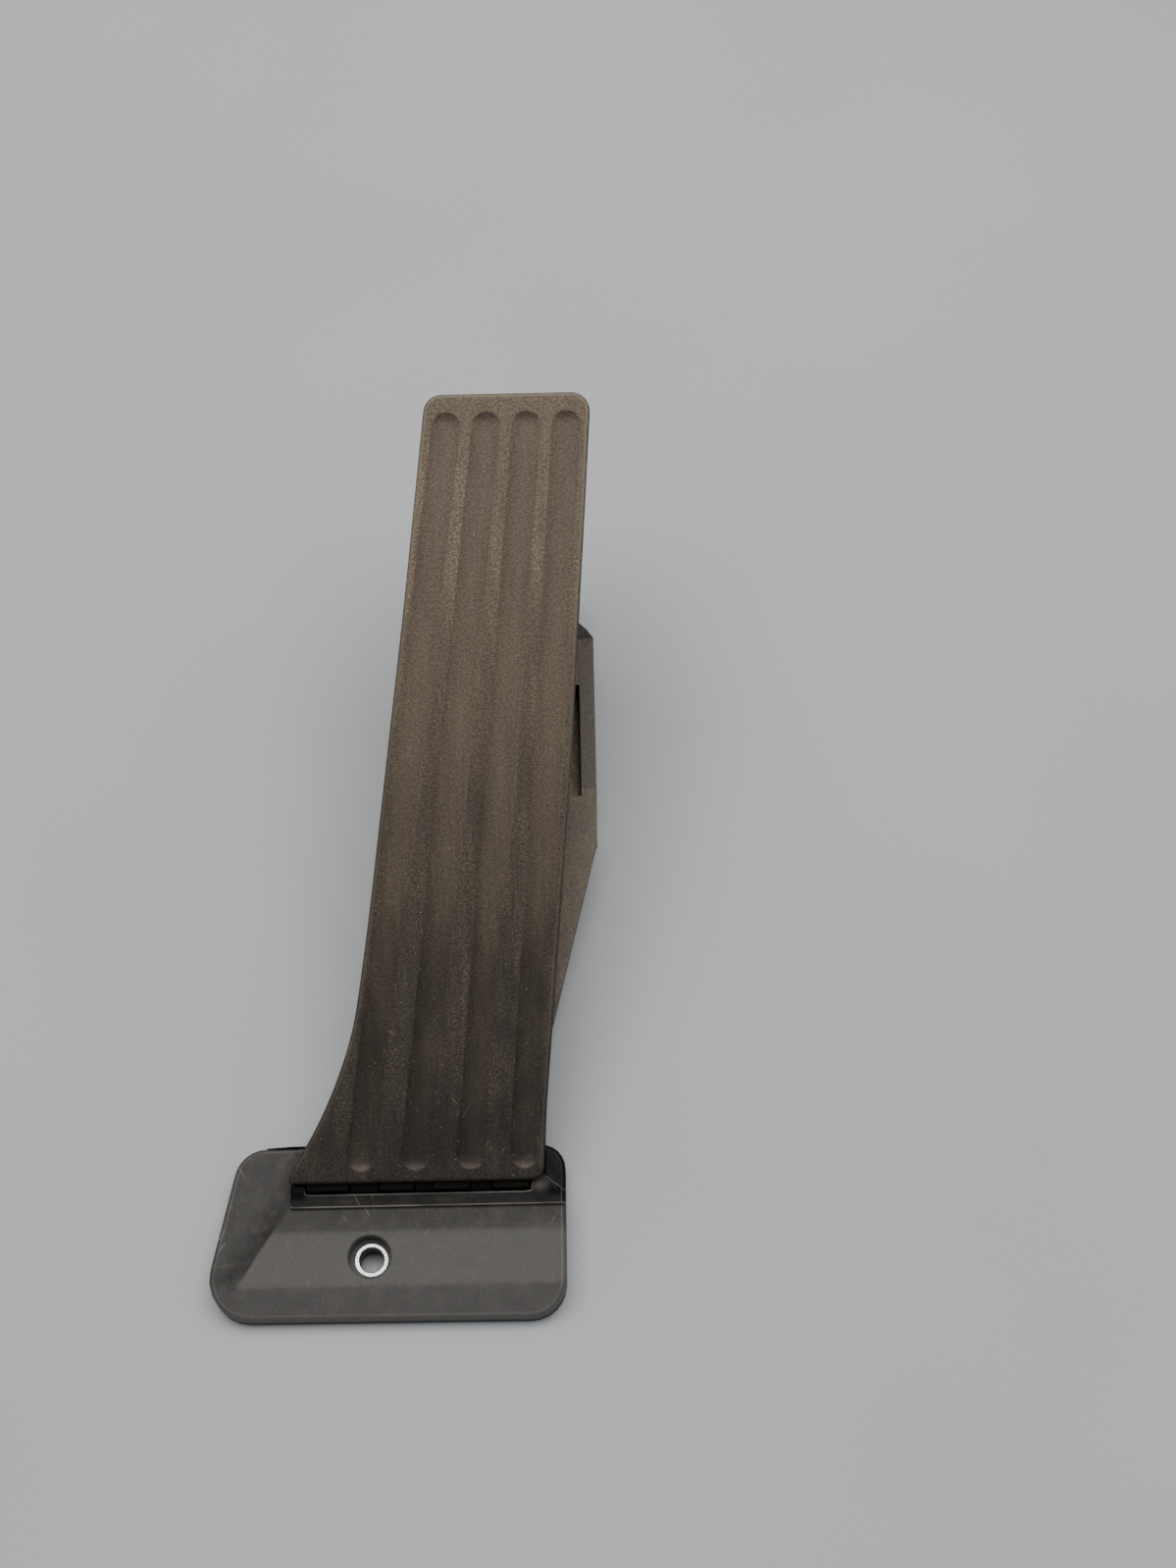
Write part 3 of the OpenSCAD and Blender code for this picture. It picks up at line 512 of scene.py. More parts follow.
FINISH = {
    "carrier": carrier_mat,
    "rear_cover": lever_mat,
    "rear_cover_screws": steel_mat,
    "mounting_sleeve": sleeve_mat,
    "hinge_pin": pin_shade_mat,
    "sensor_cover": cover_mat,
    "cover_seal": rubber_mat,
    "cover_screws": steel_mat,
    "sensor_board": board_mat,
    "board_components": chip_mat,
    "connector_pins": contact_mat,
    "axle_bush_left": white_mat,
    "axle_bush_right": white_mat,
    "return_spring_left": spring_mat,
    "return_spring_right": spring_mat,
    "full_travel_stop": rubber_mat,
    "pedal_pad": pad_mat,
    "lever_fork": lever_mat,
    "lever_axle": steel_mat,
    "friction_washer": white_mat,
    "roller_pin": steel_mat,
    "guide_roller": white_mat,
    "sensor_rotor": white_mat,
    "rotor_magnets": magnet_mat,
}


def paint_nodes():
    """Give every CAD node its material."""
    for name, mat in FINISH.items():
        ob = NODES[name]
        if not ob.material_slots:
            ob.data.materials.append(mat)
        for slot in ob.material_slots:
            slot.material = mat


# -------------------------------------------------------------- sharp edges

# Points closer than this, in metres, are joined
WELD_GAP = 2e-6
# Edges steeper than these, in degrees, are broken or left sharp
SHARP_NODE = 35.0
SHARP_CUT = 28.0
SMOOTH_CUT = 35.0
SMOOTH_SKIN = 50.0

def even_normals(ob):
    """Keep large faces flat beside their rounded edges."""
    w = ob.modifiers.new("normals", "WEIGHTED_NORMAL")
    w.keep_sharp = True
    w.weight = 100


def soften(node, width, segments=2):
    """Break the sharp edges of a CAD node. The width is in millimetres."""
    w = NODES[node].modifiers.new("join", "WELD")
    w.merge_threshold = WELD_GAP
    b = NODES[node].modifiers.new("edge", "BEVEL")
    b.width = width * MM
    b.segments = segments
    b.limit_method = "ANGLE"
    b.angle_limit = math.radians(SHARP_NODE)
    b.use_clamp_overlap = True
    even_normals(NODES[node])


def soften_nodes():
    """The CAD nodes that get broken edges, and how wide."""
    soften("mounting_sleeve", 0.45, 3)
    soften("sensor_cover", 0.5, 3)
    soften("rear_cover", 0.3)
    soften("rear_cover_screws", 0.15)
    soften("cover_screws", 0.15)
    soften("lever_fork", 0.3)
    soften("guide_roller", 0.25)
    soften("full_travel_stop", 0.3)


# ----------------------------------------------------------------- outlines

# Steps in each rounded corner of an outline
CORNER_STEPS = 6


def rounded(vertices):
    """Outline points, in millimetres, from (x, y, corner radius) vertices."""
    out = []
    m = len(vertices)
    for i, (x, y, r) in enumerate(vertices):
        v = np.array((x, y))
        if r <= 0:
            out.append(v)
            continue
        a = np.array(vertices[i - 1][:2]) - v
        b = np.array(vertices[(i + 1) % m][:2]) - v
        a, b = a / np.linalg.norm(a), b / np.linalg.norm(b)
        half = math.acos(np.clip(a @ b, -1, 1)) / 2
        mid = (a + b) / np.linalg.norm(a + b)
        c = v + mid * r / math.sin(half)
        t0, t1 = v + a * r / math.tan(half) - c, v + b * r / math.tan(half) - c
        a0 = math.atan2(t0[1], t0[0])
        d = (math.atan2(t1[1], t1[0]) - a0 + 3 * math.pi) % (2 * math.pi) - math.pi
        for k in range(CORNER_STEPS + 1):
            w = a0 + d * k / CORNER_STEPS
            out.append(c + r * np.array((math.cos(w), math.sin(w))))
    return np.array(out)


def dense(loop, step):
    """The same outline with no side longer than step."""
    out = []
    for a, b in zip(loop, np.roll(loop, -1, 0)):
        k = max(1, int(math.ceil(np.linalg.norm(b - a) / step)))
        out += [a + (b - a) * j / k for j in range(k)]
    return np.array(out)


def spline(points, k):
    """A smooth open curve through the points, with k pieces between two of them."""
    p = np.array(points, float)
    p = np.vstack([2 * p[0] - p[1], p, 2 * p[-1] - p[-2]])
    out = []
    for i in range(1, len(p) - 2):
        for j in range(k):
            t = j / k
            out.append(
                0.5
                * (
                    2 * p[i]
                    + (p[i + 1] - p[i - 1]) * t
                    + (2 * p[i - 1] - 5 * p[i] + 4 * p[i + 1] - p[i + 2]) * t * t
                    + (3 * p[i] - p[i - 1] - 3 * p[i + 1] + p[i + 2]) * t**3
                )
            )
    out.append(p[-2])
    return np.array(out)


def inward(loop, d):
    """A counter-clockwise loop moved inwards by d, point for point."""
    e = np.roll(loop, -1, 0) - loop
    e /= np.linalg.norm(e, axis=1)[:, None]
    n2 = np.stack([-e[:, 1], e[:, 0]], 1)
    n1 = np.roll(n2, 1, 0)
    return loop + d * (n1 + n2) / (1 + (n1 * n2).sum(1))[:, None]


def segment_gap(points, a, b):
    """Distance of each point from the line between a and b."""
    d = b - a
    t = np.clip(((points - a) @ d) / (d @ d), 0, 1)
    return np.linalg.norm(points - (a + t[:, None] * d), axis=1)


def gap_to(points, loop):
    """Distance of each point from an outline."""
    return np.min([segment_gap(points, a, b) for a, b in zip(loop, np.roll(loop, -1, 0))], 0)


def directed(line):
    """The two ends of a line and its direction."""
    a, b = (np.array(q, float) for q in line)
    return a, b, (b - a) / np.linalg.norm(b - a)


def within(points, loop):
    """True for each point inside the loop."""
    x, y = points[:, 0], points[:, 1]
    hit = np.zeros(len(points), bool)
    b = np.roll(loop, -1, 0)
    for (ax, ay), (bx, by) in zip(loop, b):
        if ay == by:
            continue
        cross = (ay > y) != (by > y)
        hit ^= cross & (x < (bx - ax) * (y - ay) / (by - ay) + ax)
    return hit


def step_up(v, lo, hi):
    """0 below lo, 1 above hi and a smooth step between."""
    t = np.clip((v - lo) / (hi - lo), 0, 1)
    return t * t * (3 - 2 * t)


def soft_min(a, b, k):
    """The lower of two heights, blended over k where they cross."""
    return 0.5 * (a + b - np.sqrt((a - b) ** 2 + k * k))


def fillet(d, r):
    """Drop of a rounded edge of radius r at the distance d from it."""
    e = np.clip(r - d, 0, r)
    return r - np.sqrt(np.maximum(r * r - e * e, 0))


def edge_loops(outline, radius):
    """Loops over a rounded edge, closer together near the outline."""
    return [inward(outline, radius * (1 - math.cos(a))) for a in np.linspace(0, math.pi / 2, 6)]


def grid(x, y):
    """Every point of a grid, from its x and y values."""
    gx, gy = np.meshgrid(x, y)
    return np.stack([gx.ravel(), gy.ravel()], 1)


def triangulate(loops, extra, keep=None):
    """Triangles over the area of the first loop, through every other loop and point."""
    pts, edges, start = [], [], 0
    for loop in loops:
        pts.append(loop)
        m = len(loop)
        edges += [(start + k, start + (k + 1) % m) for k in range(m)]
        start += m
    if len(extra):
        pts.append(extra)
    pts = np.vstack(pts)
    got = delaunay_2d_cdt([Vector(p) for p in pts], edges, [], 1, 1e-4)
    v2 = np.array([(v.x, v.y) for v in got[0]])
    tris = [tuple(f) for f in got[2]]
    if keep is not None:
        mid = np.array([v2[list(t)].mean(0) for t in tris])
        tris = [t for t, inside in zip(tris, keep(mid)) if inside]
    return v2, tris


def border_loops(tris):
    """The closed loops of edges that only one triangle has."""
    edges = {(t[i], t[(i + 1) % 3]): None for t in tris for i in range(3)}
    follow = dict(e for e in edges if (e[1], e[0]) not in edges)
    chains = []
    while follow:
        start, ahead = follow.popitem()
        chain = [start]
        while ahead != start:
            chain.append(ahead)
            ahead = follow.pop(ahead)
        chains.append(chain)
    return chains


# ------------------------------------------------------------------- meshes


def piece(name, solid, mat, body, place=None):
    """A welded mesh piece from a Solid, with its values stored on the vertices."""
    me = bpy.data.meshes.new(name)
    v = np.asarray(solid.v, float) * MM
    me.from_pydata([tuple(p) for p in v], [], solid.f)
    for key, values in solid.a.items():
        at = me.attributes.new(key, "FLOAT", "POINT")
        at.data.foreach_set("value", np.asarray(values, np.float32))
    if place is not None:
        me.transform(place)
    bm = bmesh.new()
    bm.from_mesh(me)
    loose = [x for x in bm.verts if not x.link_faces]
    bmesh.ops.delete(bm, geom=loose, context="VERTS")
    bmesh.ops.remove_doubles(bm, verts=bm.verts, dist=WELD_GAP)
    bmesh.ops.recalc_face_normals(bm, faces=bm.faces)
    bm.to_mesh(me)
    bm.free()
    return show(me, name, mat, body, SMOOTH_SKIN)


def show(me, name, mat, body, smooth):
    """Put a mesh in the scene. Edges steeper than smooth, in degrees, stay sharp."""
    me.polygons.foreach_set("use_smooth", [True] * len(me.polygons))
    me.set_sharp_from_angle(angle=math.radians(smooth))
    ob = bpy.data.objects.new(name, me)
    bpy.context.scene.collection.objects.link(ob)
    ob.data.materials.append(mat)
    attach(ob, body)
    return ob


class Solid:
    """Collects vertices, faces and values, in millimetres."""

    def __init__(self):
        self.v, self.f, self.a = [], [], {}

    def add(self, verts, faces, **attrs):
        """Add faces with a value, or a list of values, for their vertices."""
        base = len(self.v)
        verts = [tuple(p) for p in verts]
        self.v += verts
        self.f += [tuple(base + i for i in f) for f in faces]
        for key in sorted(set(self.a) | set(attrs)):
            have = self.a.setdefault(key, [0.0] * base)
            value = attrs.get(key, 0.0)
            have += list(value) if hasattr(value, "__len__") else [value] * len(verts)
        return base

    def wall(self, low, high, **attrs):
        """A band between two loops of the same length."""
        n = len(low)
        faces = [(i, (i + 1) % n, n + (i + 1) % n, n + i) for i in range(n)]
        self.add([*low, *high], faces, **attrs)


def cut_copy(node, cuts, bevel, frame_of=None):
    """The part of a CAD node on the kept side of each (point, normal) plane, in millimetres."""
    bm = bmesh.new()
    bm.from_mesh(NODES[node].data)
    bmesh.ops.scale(bm, vec=(1 / MM, 1 / MM, 1 / MM), verts=bm.verts)
    if frame_of is not None:
        bmesh.ops.transform(bm, matrix=frame_of, verts=bm.verts)
    bmesh.ops.remove_doubles(bm, verts=bm.verts, dist=1e-3)
    bmesh.ops.dissolve_limit(
        bm, angle_limit=math.radians(0.6), verts=bm.verts, edges=bm.edges, delimit=set()
    )
    sharp = [e for e in bm.edges if len(e.link_faces) == 2]
    sharp = [e for e in sharp if e.calc_face_angle(0) > math.radians(SHARP_CUT)]
    bmesh.ops.bevel(
        bm,
        geom=sharp,
        offset=bevel,
        segments=2,
        profile=0.6,
        affect="EDGES",
        clamp_overlap=True,
    )
    for point, normal in cuts:
        got = bmesh.ops.bisect_plane(
            bm,
            geom=[*bm.verts, *bm.edges, *bm.faces],
            plane_co=point,
            plane_no=normal,
            clear_outer=True,
            dist=1e-4,
        )
        rim = [e for e in got["geom_cut"] if isinstance(e, bmesh.types.BMEdge)]
        bmesh.ops.triangle_fill(bm, edges=rim, use_beauty=True, use_dissolve=False)
    bmesh.ops.triangulate(bm, faces=[f for f in bm.faces if len(f.verts) > 4])
    return bm


def from_bmesh(bm, name, mat, body, place=None):
    """A visual piece from what cut_copy gives."""
    bmesh.ops.recalc_face_normals(bm, faces=bm.faces)
    bmesh.ops.scale(bm, vec=(MM, MM, MM), verts=bm.verts)
    if place is not None:
        bmesh.ops.transform(bm, matrix=place, verts=bm.verts)
    me = bpy.data.meshes.new(name)
    bm.to_mesh(me)
    bm.free()
    ob = show(me, name, mat, body, SMOOTH_CUT)
    even_normals(ob)
    return ob


# ------------------------------------------------------------------ the pad

# Centre of the hinge, angle of the pad at rest and height of its face over the hinge
HINGE_Y, HINGE_Z = 22.0, 9.5
REST = math.radians(23)
PAD_DEPTH = 7.0
# Outline of the face in its own frame: the sides as points, the corners with their radius
PAD_RIGHT = [(49.6, 16), (51.7, 39.7), (53.2, 56.2), (56.3, 89.2), (59.6, 125.1)]
PAD_RIGHT += [(62, 160), (64.3, 188.7), (65.9, 212)]
PAD_LEFT = [(18.2, 210), (16.1, 192.5), (12.8, 165), (9.3, 137.5), (5.6, 110)]
PAD_LEFT += [(1.9, 82), (-0.4, 66), (-2.1, 55), (-3.6, 46.5), (-5.7, 38.5), (-8.7, 30)]
PAD_LEFT += [(-12.1, 22), (-16.2, 14), (-19.8, 8)]
PAD_CORNERS = [(-23.6, 0.5, 1), (48.7, 0.5, 3.8)]
PAD_CORNERS += [(66.7, PAD_LENGTH, 5.2), (19.7, PAD_LENGTH, 5.2)]
# Centre line, radius and depth of each groove, and the blend at its edges
GROOVES = [
    ((-2.4, 8), (25.6, 213.2)),
    ((12.9, 8), (36.9, 213.2)),
    ((28.5, 8), (48.3, 213.2)),
    ((43.5, 8), (59.6, 213.2)),
]
GROOVE_R = 4.15
GROOVE_DEPTH = 1.15
GROOVE_BLEND = 0.10
# Radii where the groove's surface bends, and steps round its ends
GROOVE_RINGS = (0, 1.3, 2.4, 3.2, 3.7, 4.0, 4.15, 4.35, 4.8)
GROOVE_END_STEPS = 14
# Radii between which the tone changes to the ridge's, at places along the pad
FILL_AT = (60, 90, 150, 185)
# The two sides differ so that right walls come out paler and left walls darker: painted light and
# shade as from light on the left
FILL_RIGHT = ((2.2, 4.35, 4.35, 4.0), (4.3, 4.7, 4.7, 4.3))
FILL_LEFT = ((4.0, 3.6, 3.6, 3.9), (4.3, 4.3, 4.3, 4.3))
# Directions on the face
ALONG, ACROSS = (0.0, 1.0), (1.0, 0.0)
# Radius of the face's rounded edge, and the level where the skin ends
PAD_EDGE = 1.15
PAD_SPLIT = -1.7
PAD_STEP = 2.6


def pad_frame(unit):
    """The frame of the pad's face: its low end near the hinge, its length along Y."""
    y = HINGE_Y - PAD_DEPTH * math.sin(REST)
    z = HINGE_Z + PAD_DEPTH * math.cos(REST)
    return Matrix.Translation((0, y * unit, z * unit)) @ Matrix.Rotation(REST, 4, "X")


def pad_loop():
    """The outline of the face, with rounded corners."""
    c = PAD_CORNERS
    right = [(*p, 0) for p in spline(PAD_RIGHT, 3)]
    left = [(*p, 0) for p in spline(PAD_LEFT, 3)]
    return dense(rounded([c[0], c[1], *right, c[2], c[3], *left]), PAD_STEP)


def groove_gap(p, g):
    """Distance from a groove's centre line."""
    a, b, _ = directed(g)
    return segment_gap(p, a, b)


def groove_depth(p):
    """Depth of the rounded grooves, with a small blend at their edges."""
    big = (GROOVE_R**2 + GROOVE_DEPTH**2) / (2 * GROOVE_DEPTH)
    total = np.zeros(len(p))
    for g in GROOVES:
        r = np.minimum(groove_gap(p, g), big * 0.98)
        d = np.sqrt(big * big - r * r) - (big - GROOVE_DEPTH)
        soft = np.where(d < -GROOVE_BLEND, 0, (d + GROOVE_BLEND) ** 2 / (4 * GROOVE_BLEND))
        total += np.where(d > GROOVE_BLEND, d, soft)
    return total


def groove_slope(p, way):
    """How fast the grooves get deeper in a direction."""
    reach = 0.15
    step = reach * np.array(way)
    return (groove_depth(p + step) - groove_depth(p - step)) / (2 * reach)


def groove_fill(p):
    """1 in a groove. Each side's change to the ridge starts and ends at a given radius."""
    right = [np.interp(p[:, 1], FILL_AT, radii) for radii in FILL_RIGHT]
    left = [np.interp(p[:, 1], FILL_AT, radii) for radii in FILL_LEFT]
    fill = np.zeros(len(p))
    for g in GROOVES:
        a, _, d = directed(g)
        at_right = (p - a) @ np.array((d[1], -d[0])) > 0
        start, end = (np.where(at_right, r, q) for r, q in zip(right, left))
        fill = np.maximum(fill, 1 - step_up(groove_gap(p, g), start, end))
    return fill


def painted_wall_shading(p):
    """Painted light and shade on the groove walls, as from light on the left: left walls darker
    near the foot, right walls paler.
    """
    lean = groove_slope(p, ACROSS)
    low = 1 - step_up(p[:, 1], 70, 115)
    return np.where(lean > 0, -0.16 * low, -0.12) * lean


def groove_points():
    """Points along every groove and round its ends."""
    points = []
    for g in GROOVES:
        a, b, d = directed(g)
        n = np.array((-d[1], d[0]))
        k = int(np.linalg.norm(b - a) / PAD_STEP)
        for r in GROOVE_RINGS:
            for i in range(k + 1):
                c = a + (b - a) * i / k
                points += [c + n * r, c - n * r] if r else [c]
            for end, way in ((a, -1), (b, 1)):
                for j in range(1, GROOVE_END_STEPS if r else 1):
                    w = math.pi * j / GROOVE_END_STEPS
                    points.append(end + r * (n * math.cos(w) + way * d * math.sin(w)))
    return np.array(points)


def pad_top(loop):
    """The pad's face as flat triangles, with each point's height and distance to the rim."""
    ridges = grid(np.arange(-23, 68, 2.4), np.arange(1, 222, PAD_STEP))
    near = np.min([groove_gap(ridges, g) for g in GROOVES], 0)
    extra = np.vstack([groove_points(), ridges[near > 5.5]])
    extra = extra[within(extra, loop)]
    extra = extra[gap_to(extra, loop) > PAD_EDGE + 0.12]
    v2, tris = triangulate(edge_loops(loop, PAD_EDGE), extra)
    rim = gap_to(v2, loop)
    return v2, tris, -fillet(rim, PAD_EDGE) - groove_depth(v2), rim


def build_pad():
    """The pad's face as a skin over a copy of the CAD pad cut off below it."""
    place = pad_frame(MM)
    loop = pad_loop()
    v2, tris, z, rim = pad_top(loop)
    s = Solid()
    s.add(
        np.column_stack([v2, z]),
        tris,
        cup=groove_slope(v2, ALONG),
        # wall: painted light and shade on the groove walls
        wall=painted_wall_shading(v2),
        fill=groove_fill(v2),
        rim=rim,
        across=v2[:, 0],
        along=v2[:, 1],
    )
    high = np.column_stack([loop, -PAD_EDGE - groove_depth(loop)])
    low = np.column_stack([loop, np.full(len(loop), PAD_SPLIT)])
    both = np.vstack([loop, loop])
    s.wall(low, high, across=both[:, 0], along=both[:, 1])
    v2, tris = triangulate([loop], [])
    base = np.full(len(v2), PAD_SPLIT)
    s.add(np.column_stack([v2, base]), tris, across=v2[:, 0], along=v2[:, 1])
    face = piece("pad_face", s, pad_face_mat, "pad", place)
    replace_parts(face, "pedal_pad")
    cuts = [((0, 0, PAD_SPLIT), (0, 0, 1))]
    rest = cut_copy("pedal_pad", cuts, 0.3, pad_frame(1).inverted())
    back = from_bmesh(rest, "pad_underside", under_mat, "pad", place)
    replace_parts(back, "pedal_pad")


# ----------------------------------------------------------------- the foot

# Outline of the foot, with corner radii, and the level where its skin ends
FOOT_REAR = 32.7
FOOT = [(-47.5, -15.9, 11), (54.7, -16.5, 10), (54.9, FOOT_REAR, 7), (-38.0, FOOT_REAR, 9)]
FOOT_SPLIT = 3.0
FOOT_EDGE = 1.2
FOOT_STEP = 1.8
# The raised rail with its ears, the low rear right corner and the hinge slot
RAIL_Y, SLOT_Y = 14.3, 18.2
SLOT_LEFT, SLOT_RIGHT = -18.6, 45.0
RAISED = [(-22.8, RAIL_Y), (62, RAIL_Y), (62, SLOT_Y), (54.2, SLOT_Y), (48.6, 22.6)]
RAISED += [(48.6, 27), (40, 27), (40, 28.2), (-20.2, 28.2), (-22.8, 22)]
LOW_CORNER = [(54.2, SLOT_Y), (70, SLOT_Y), (70, 50), (48.6, 50), (48.6, 22.6)]
NOTCH = [(SLOT_LEFT, SLOT_Y), (SLOT_RIGHT, SLOT_Y), (SLOT_RIGHT, 40), (SLOT_LEFT, 40)]
# Each shape with the offsets of its loops and the room it keeps from other points
FOOT_SHAPES = [
    (RAISED, (-0.06, 0, 0.03, 0.12, 0.24, 0.42), 0.55),
    (LOW_CORNER, (0.06, 0.25, 0.6, 1.26), 0.55),
    (NOTCH, (0, -0.06, -0.18, -0.27, -0.36, -0.5, -0.68, -0.86), 1.0),
]
# Line of the slanting step on the left
STEP = ((-35.8, -6.3), (-23.2, 14.3))
# The well round the sleeve, and the hole in it
WELL_R, WELL_Z, HOLE_R = 5.95, 7.0, 5.02
WELL_AT = np.array((-0.22, 0.1))
WELL_RINGS = (-0.06, 0, 0.04, 0.08, 0.18, 0.32, 0.5)
# Faces of the foot: where each starts along Y, its height there and its slope
FRONT_SKIRT = (-16.5, 4.6, 0.795)
PLATEAU = (-8.2, 11.2, 0.026)
REAR_SLOPE = (7.2, 11.6, -0.2817)
REAR_SHELF = (RAIL_Y, 9.6, -0.0284)
LEFT_WING = (-6.0, 11.3, -0.0982)
# Height at the slanting step and the slope beside it
STEP_TOP, STEP_SLOPE = 11.3, -0.488
RAIL_TOP, CORNER_TOP = 11.2, 6.8
# Tone of the foot's walls and lower face, dark as painted shade
WALL_TONE = 0.08


def facet(y, face):
    """Height of one of the foot's faces."""
    start, height, slope = face
    return height + slope * (y - start)


def signed(p, loop):
    """Distance from a loop, positive inside it and on it."""
    d = gap_to(p, loop)
    return np.where(within(p, loop) | (d < 1e-3), d, -d)


def step_side(p):
    """Distance to the left of the slanting step."""
    a, _, d = directed(STEP)
    return (p - a) @ np.array((-d[1], d[0]))


def foot_height(p, outline):
    """Height of the foot, and the distances to its rim, rail, slot and low corner."""
    x, y = p[:, 0], p[:, 1]
    skirt = facet(y, FRONT_SKIRT)
    rear = -soft_min(-facet(y, REAR_SLOPE), -facet(y, REAR_SHELF), 0.3)
    slope = STEP_TOP + STEP_SLOPE * step_side(p)
    left = -soft_min(-slope, -facet(y, LEFT_WING), 1.3)
    soft = 0.28 + 3.2 * step_up(-x, 35.0, 42.0)
    z = soft_min(soft_min(soft_min(skirt, facet(y, PLATEAU), 0.25), rear, 0.3), left, 0.25)
    z = np.minimum(z, soft_min(skirt, left, soft))
    low = signed(p, np.array(LOW_CORNER, float))
    z = np.where(low > 0.03, CORNER_TOP + fillet(low - 0.06, 1.2), z)
    up = signed(p, np.array(RAISED, float))
    ear = np.interp(y, [17, 19.2, 25.3, 28.3], [0, 1.3, 1.3, -1.9])
    side = np.maximum(step_up(-x, 17.0, 18.6), step_up(x, 43.4, 45.0))
    z = np.where(up > -0.03, RAIL_TOP + ear * side - fillet(up, 0.42), z)
    slot = gap_to(p, np.array(NOTCH, float))
    z = z - fillet(slot, 0.5)
    r = np.hypot(*(p - WELL_AT).T)
    z = np.where(r < WELL_R + 0.005, WELL_Z, z - fillet(r - WELL_R - 0.04, 0.46))
    rim = gap_to(p, outline)
    return z - fillet(rim, FOOT_EDGE), rim, up, slot, low


def foot_tone(p, up, low):
    """How light each area of the foot is, all painted light and shade: each face toned to how it
    meets the light, the plateau lightest, the wing darker beside the step, and the rail and the low
    corner under the pad darkest.
    """
    y = p[:, 1]
    tone = np.interp(y, [-17, -9, -7.6, 6.2, 8.0, 14.5], [0.80, 0.84, 0.74, 0.70, 0.36, 0.34])
    side = step_side(p)
    wing = np.interp(side, [0, 1.0, 3.5, 8.5, 30], [0.20, 0.18, 0.20, 0.37, 0.38])
    front = step_up(-y, 4.5, 9.5)
    wing = wing * (1 - front) + 0.68 * front
    tone = np.where(side > 0, wing + (tone - wing) * step_up(-side, -0.5, 0.0), tone)
    tone = np.where(up > -0.03, 0.0, tone)
    return np.where(low > 0.03, 0.0, tone)


def circle(r):
    """A circle round the foot's hole."""
    steps = 72
    a = np.arange(steps) * 2 * math.pi / steps
    return np.stack([r * np.cos(a), r * np.sin(a)], 1)


def ridge(d, at, width):
    """1 where the distance is at the given one, falling off over the width."""
    return np.exp(-(((d - at) / width) ** 2))


def foot_wear_and_highlights(p, rim, up, slot, low):
    """Pale marks on the foot: painted highlight, with some wear, on the bead along its rim and the
    edges of rail and slot, and a wear patch near the slot's right end.
    """
    x, y = p[:, 0], p[:, 1]
    bead = ridge(rim, 1.08, 0.17) * np.where(low > 0, 0.15, 0.6)
    front = np.where(y < 15, 1.0, np.where(x > 48.7, 0.55, 0.0))
    rail = ridge(up, 0.12, 0.15) * (up > -0.03) * front * 1.5
    lip = ridge(slot, 0.36, 0.16) * (y < 18.3) * (0.9 + 0.8 * step_up(x, 24, 40))
    patch = ridge(x, 46.9, 2.2) * ridge(y, 19.6, 1.7) * (up > 0) * 0.75
    return bead, np.maximum(np.maximum(rail, patch), lip)


def foot_loops(outline):
    """Every line that the foot's triangles follow."""
    loops = [*edge_loops(outline, FOOT_EDGE), inward(outline, 1.5)]
    for shape, offsets, _ in FOOT_SHAPES:
        loops += [dense(inward(np.array(shape, float), d), FOOT_STEP) for d in offsets]
    return [*loops, circle(HOLE_R), *(circle(WELL_R + d) + WELL_AT for d in WELL_RINGS)]


def foot_points(outline):
    """Other points of the foot: a grid, and rows along the bends and the step."""
    a, b, d = directed(STEP)
    n = np.array((-d[1], d[0]))
    rows = []
    for off in (-0.6, -0.25, 0, 0.25, 0.6):
        for bend in (PLATEAU[0], REAR_SLOPE[0]):
            rows += [(x, bend + off) for x in np.arange(-46, 55, 1.7)]
        rows += [tuple(a + (b - a) * t + n * off) for t in np.linspace(-0.1, 1.05, 24)]
    p = np.vstack([np.array(rows), grid(np.arange(-47, 55, 1.6), np.arange(-16, 33, 1.6))])
    p = p[within(p, outline) & (gap_to(p, outline) > 1.65)]
    p = p[np.hypot(*(p - WELL_AT).T) > WELL_R + 0.6]
    for shape, _, room in FOOT_SHAPES:
        p = p[gap_to(p, np.array(shape, float)) > room]
    return p


def build_foot():
    """The foot's upper part as a skin, with walls down to the level where it ends."""
    outline = dense(rounded(FOOT), FOOT_STEP)
    notch = np.array(NOTCH, float)

    def keep(mid):
        hole = np.hypot(mid[:, 0], mid[:, 1]) < HOLE_R - 0.01
        return within(mid, outline) & ~within(mid, notch) & ~hole

    v2, tris = triangulate(foot_loops(outline), foot_points(outline), keep)
    z, rim, up, slot, low = foot_height(v2, outline)
    bead, edge = foot_wear_and_highlights(v2, rim, up, slot, low)
    s = Solid()
    s.add(np.column_stack([v2, z]), tris, bead=bead, edge=edge, tone=foot_tone(v2, up, low))
    chains = border_loops(tris)
    for chain in chains:
        m = len(chain)
        base = s.add([(*v2[i], FOOT_SPLIT) for i in chain], [], tone=WALL_TONE)
        s.f += [(chain[i], base + i, base + (i + 1) % m, chain[(i + 1) % m]) for i in range(m)]
    v2, tris = triangulate([v2[chain] for chain in chains], [], keep)
    s.add(np.column_stack([v2, np.full(len(v2), FOOT_SPLIT)]), tris, tone=WALL_TONE)
    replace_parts(piece("carrier_foot", s, foot_mat, "housing"), "carrier")


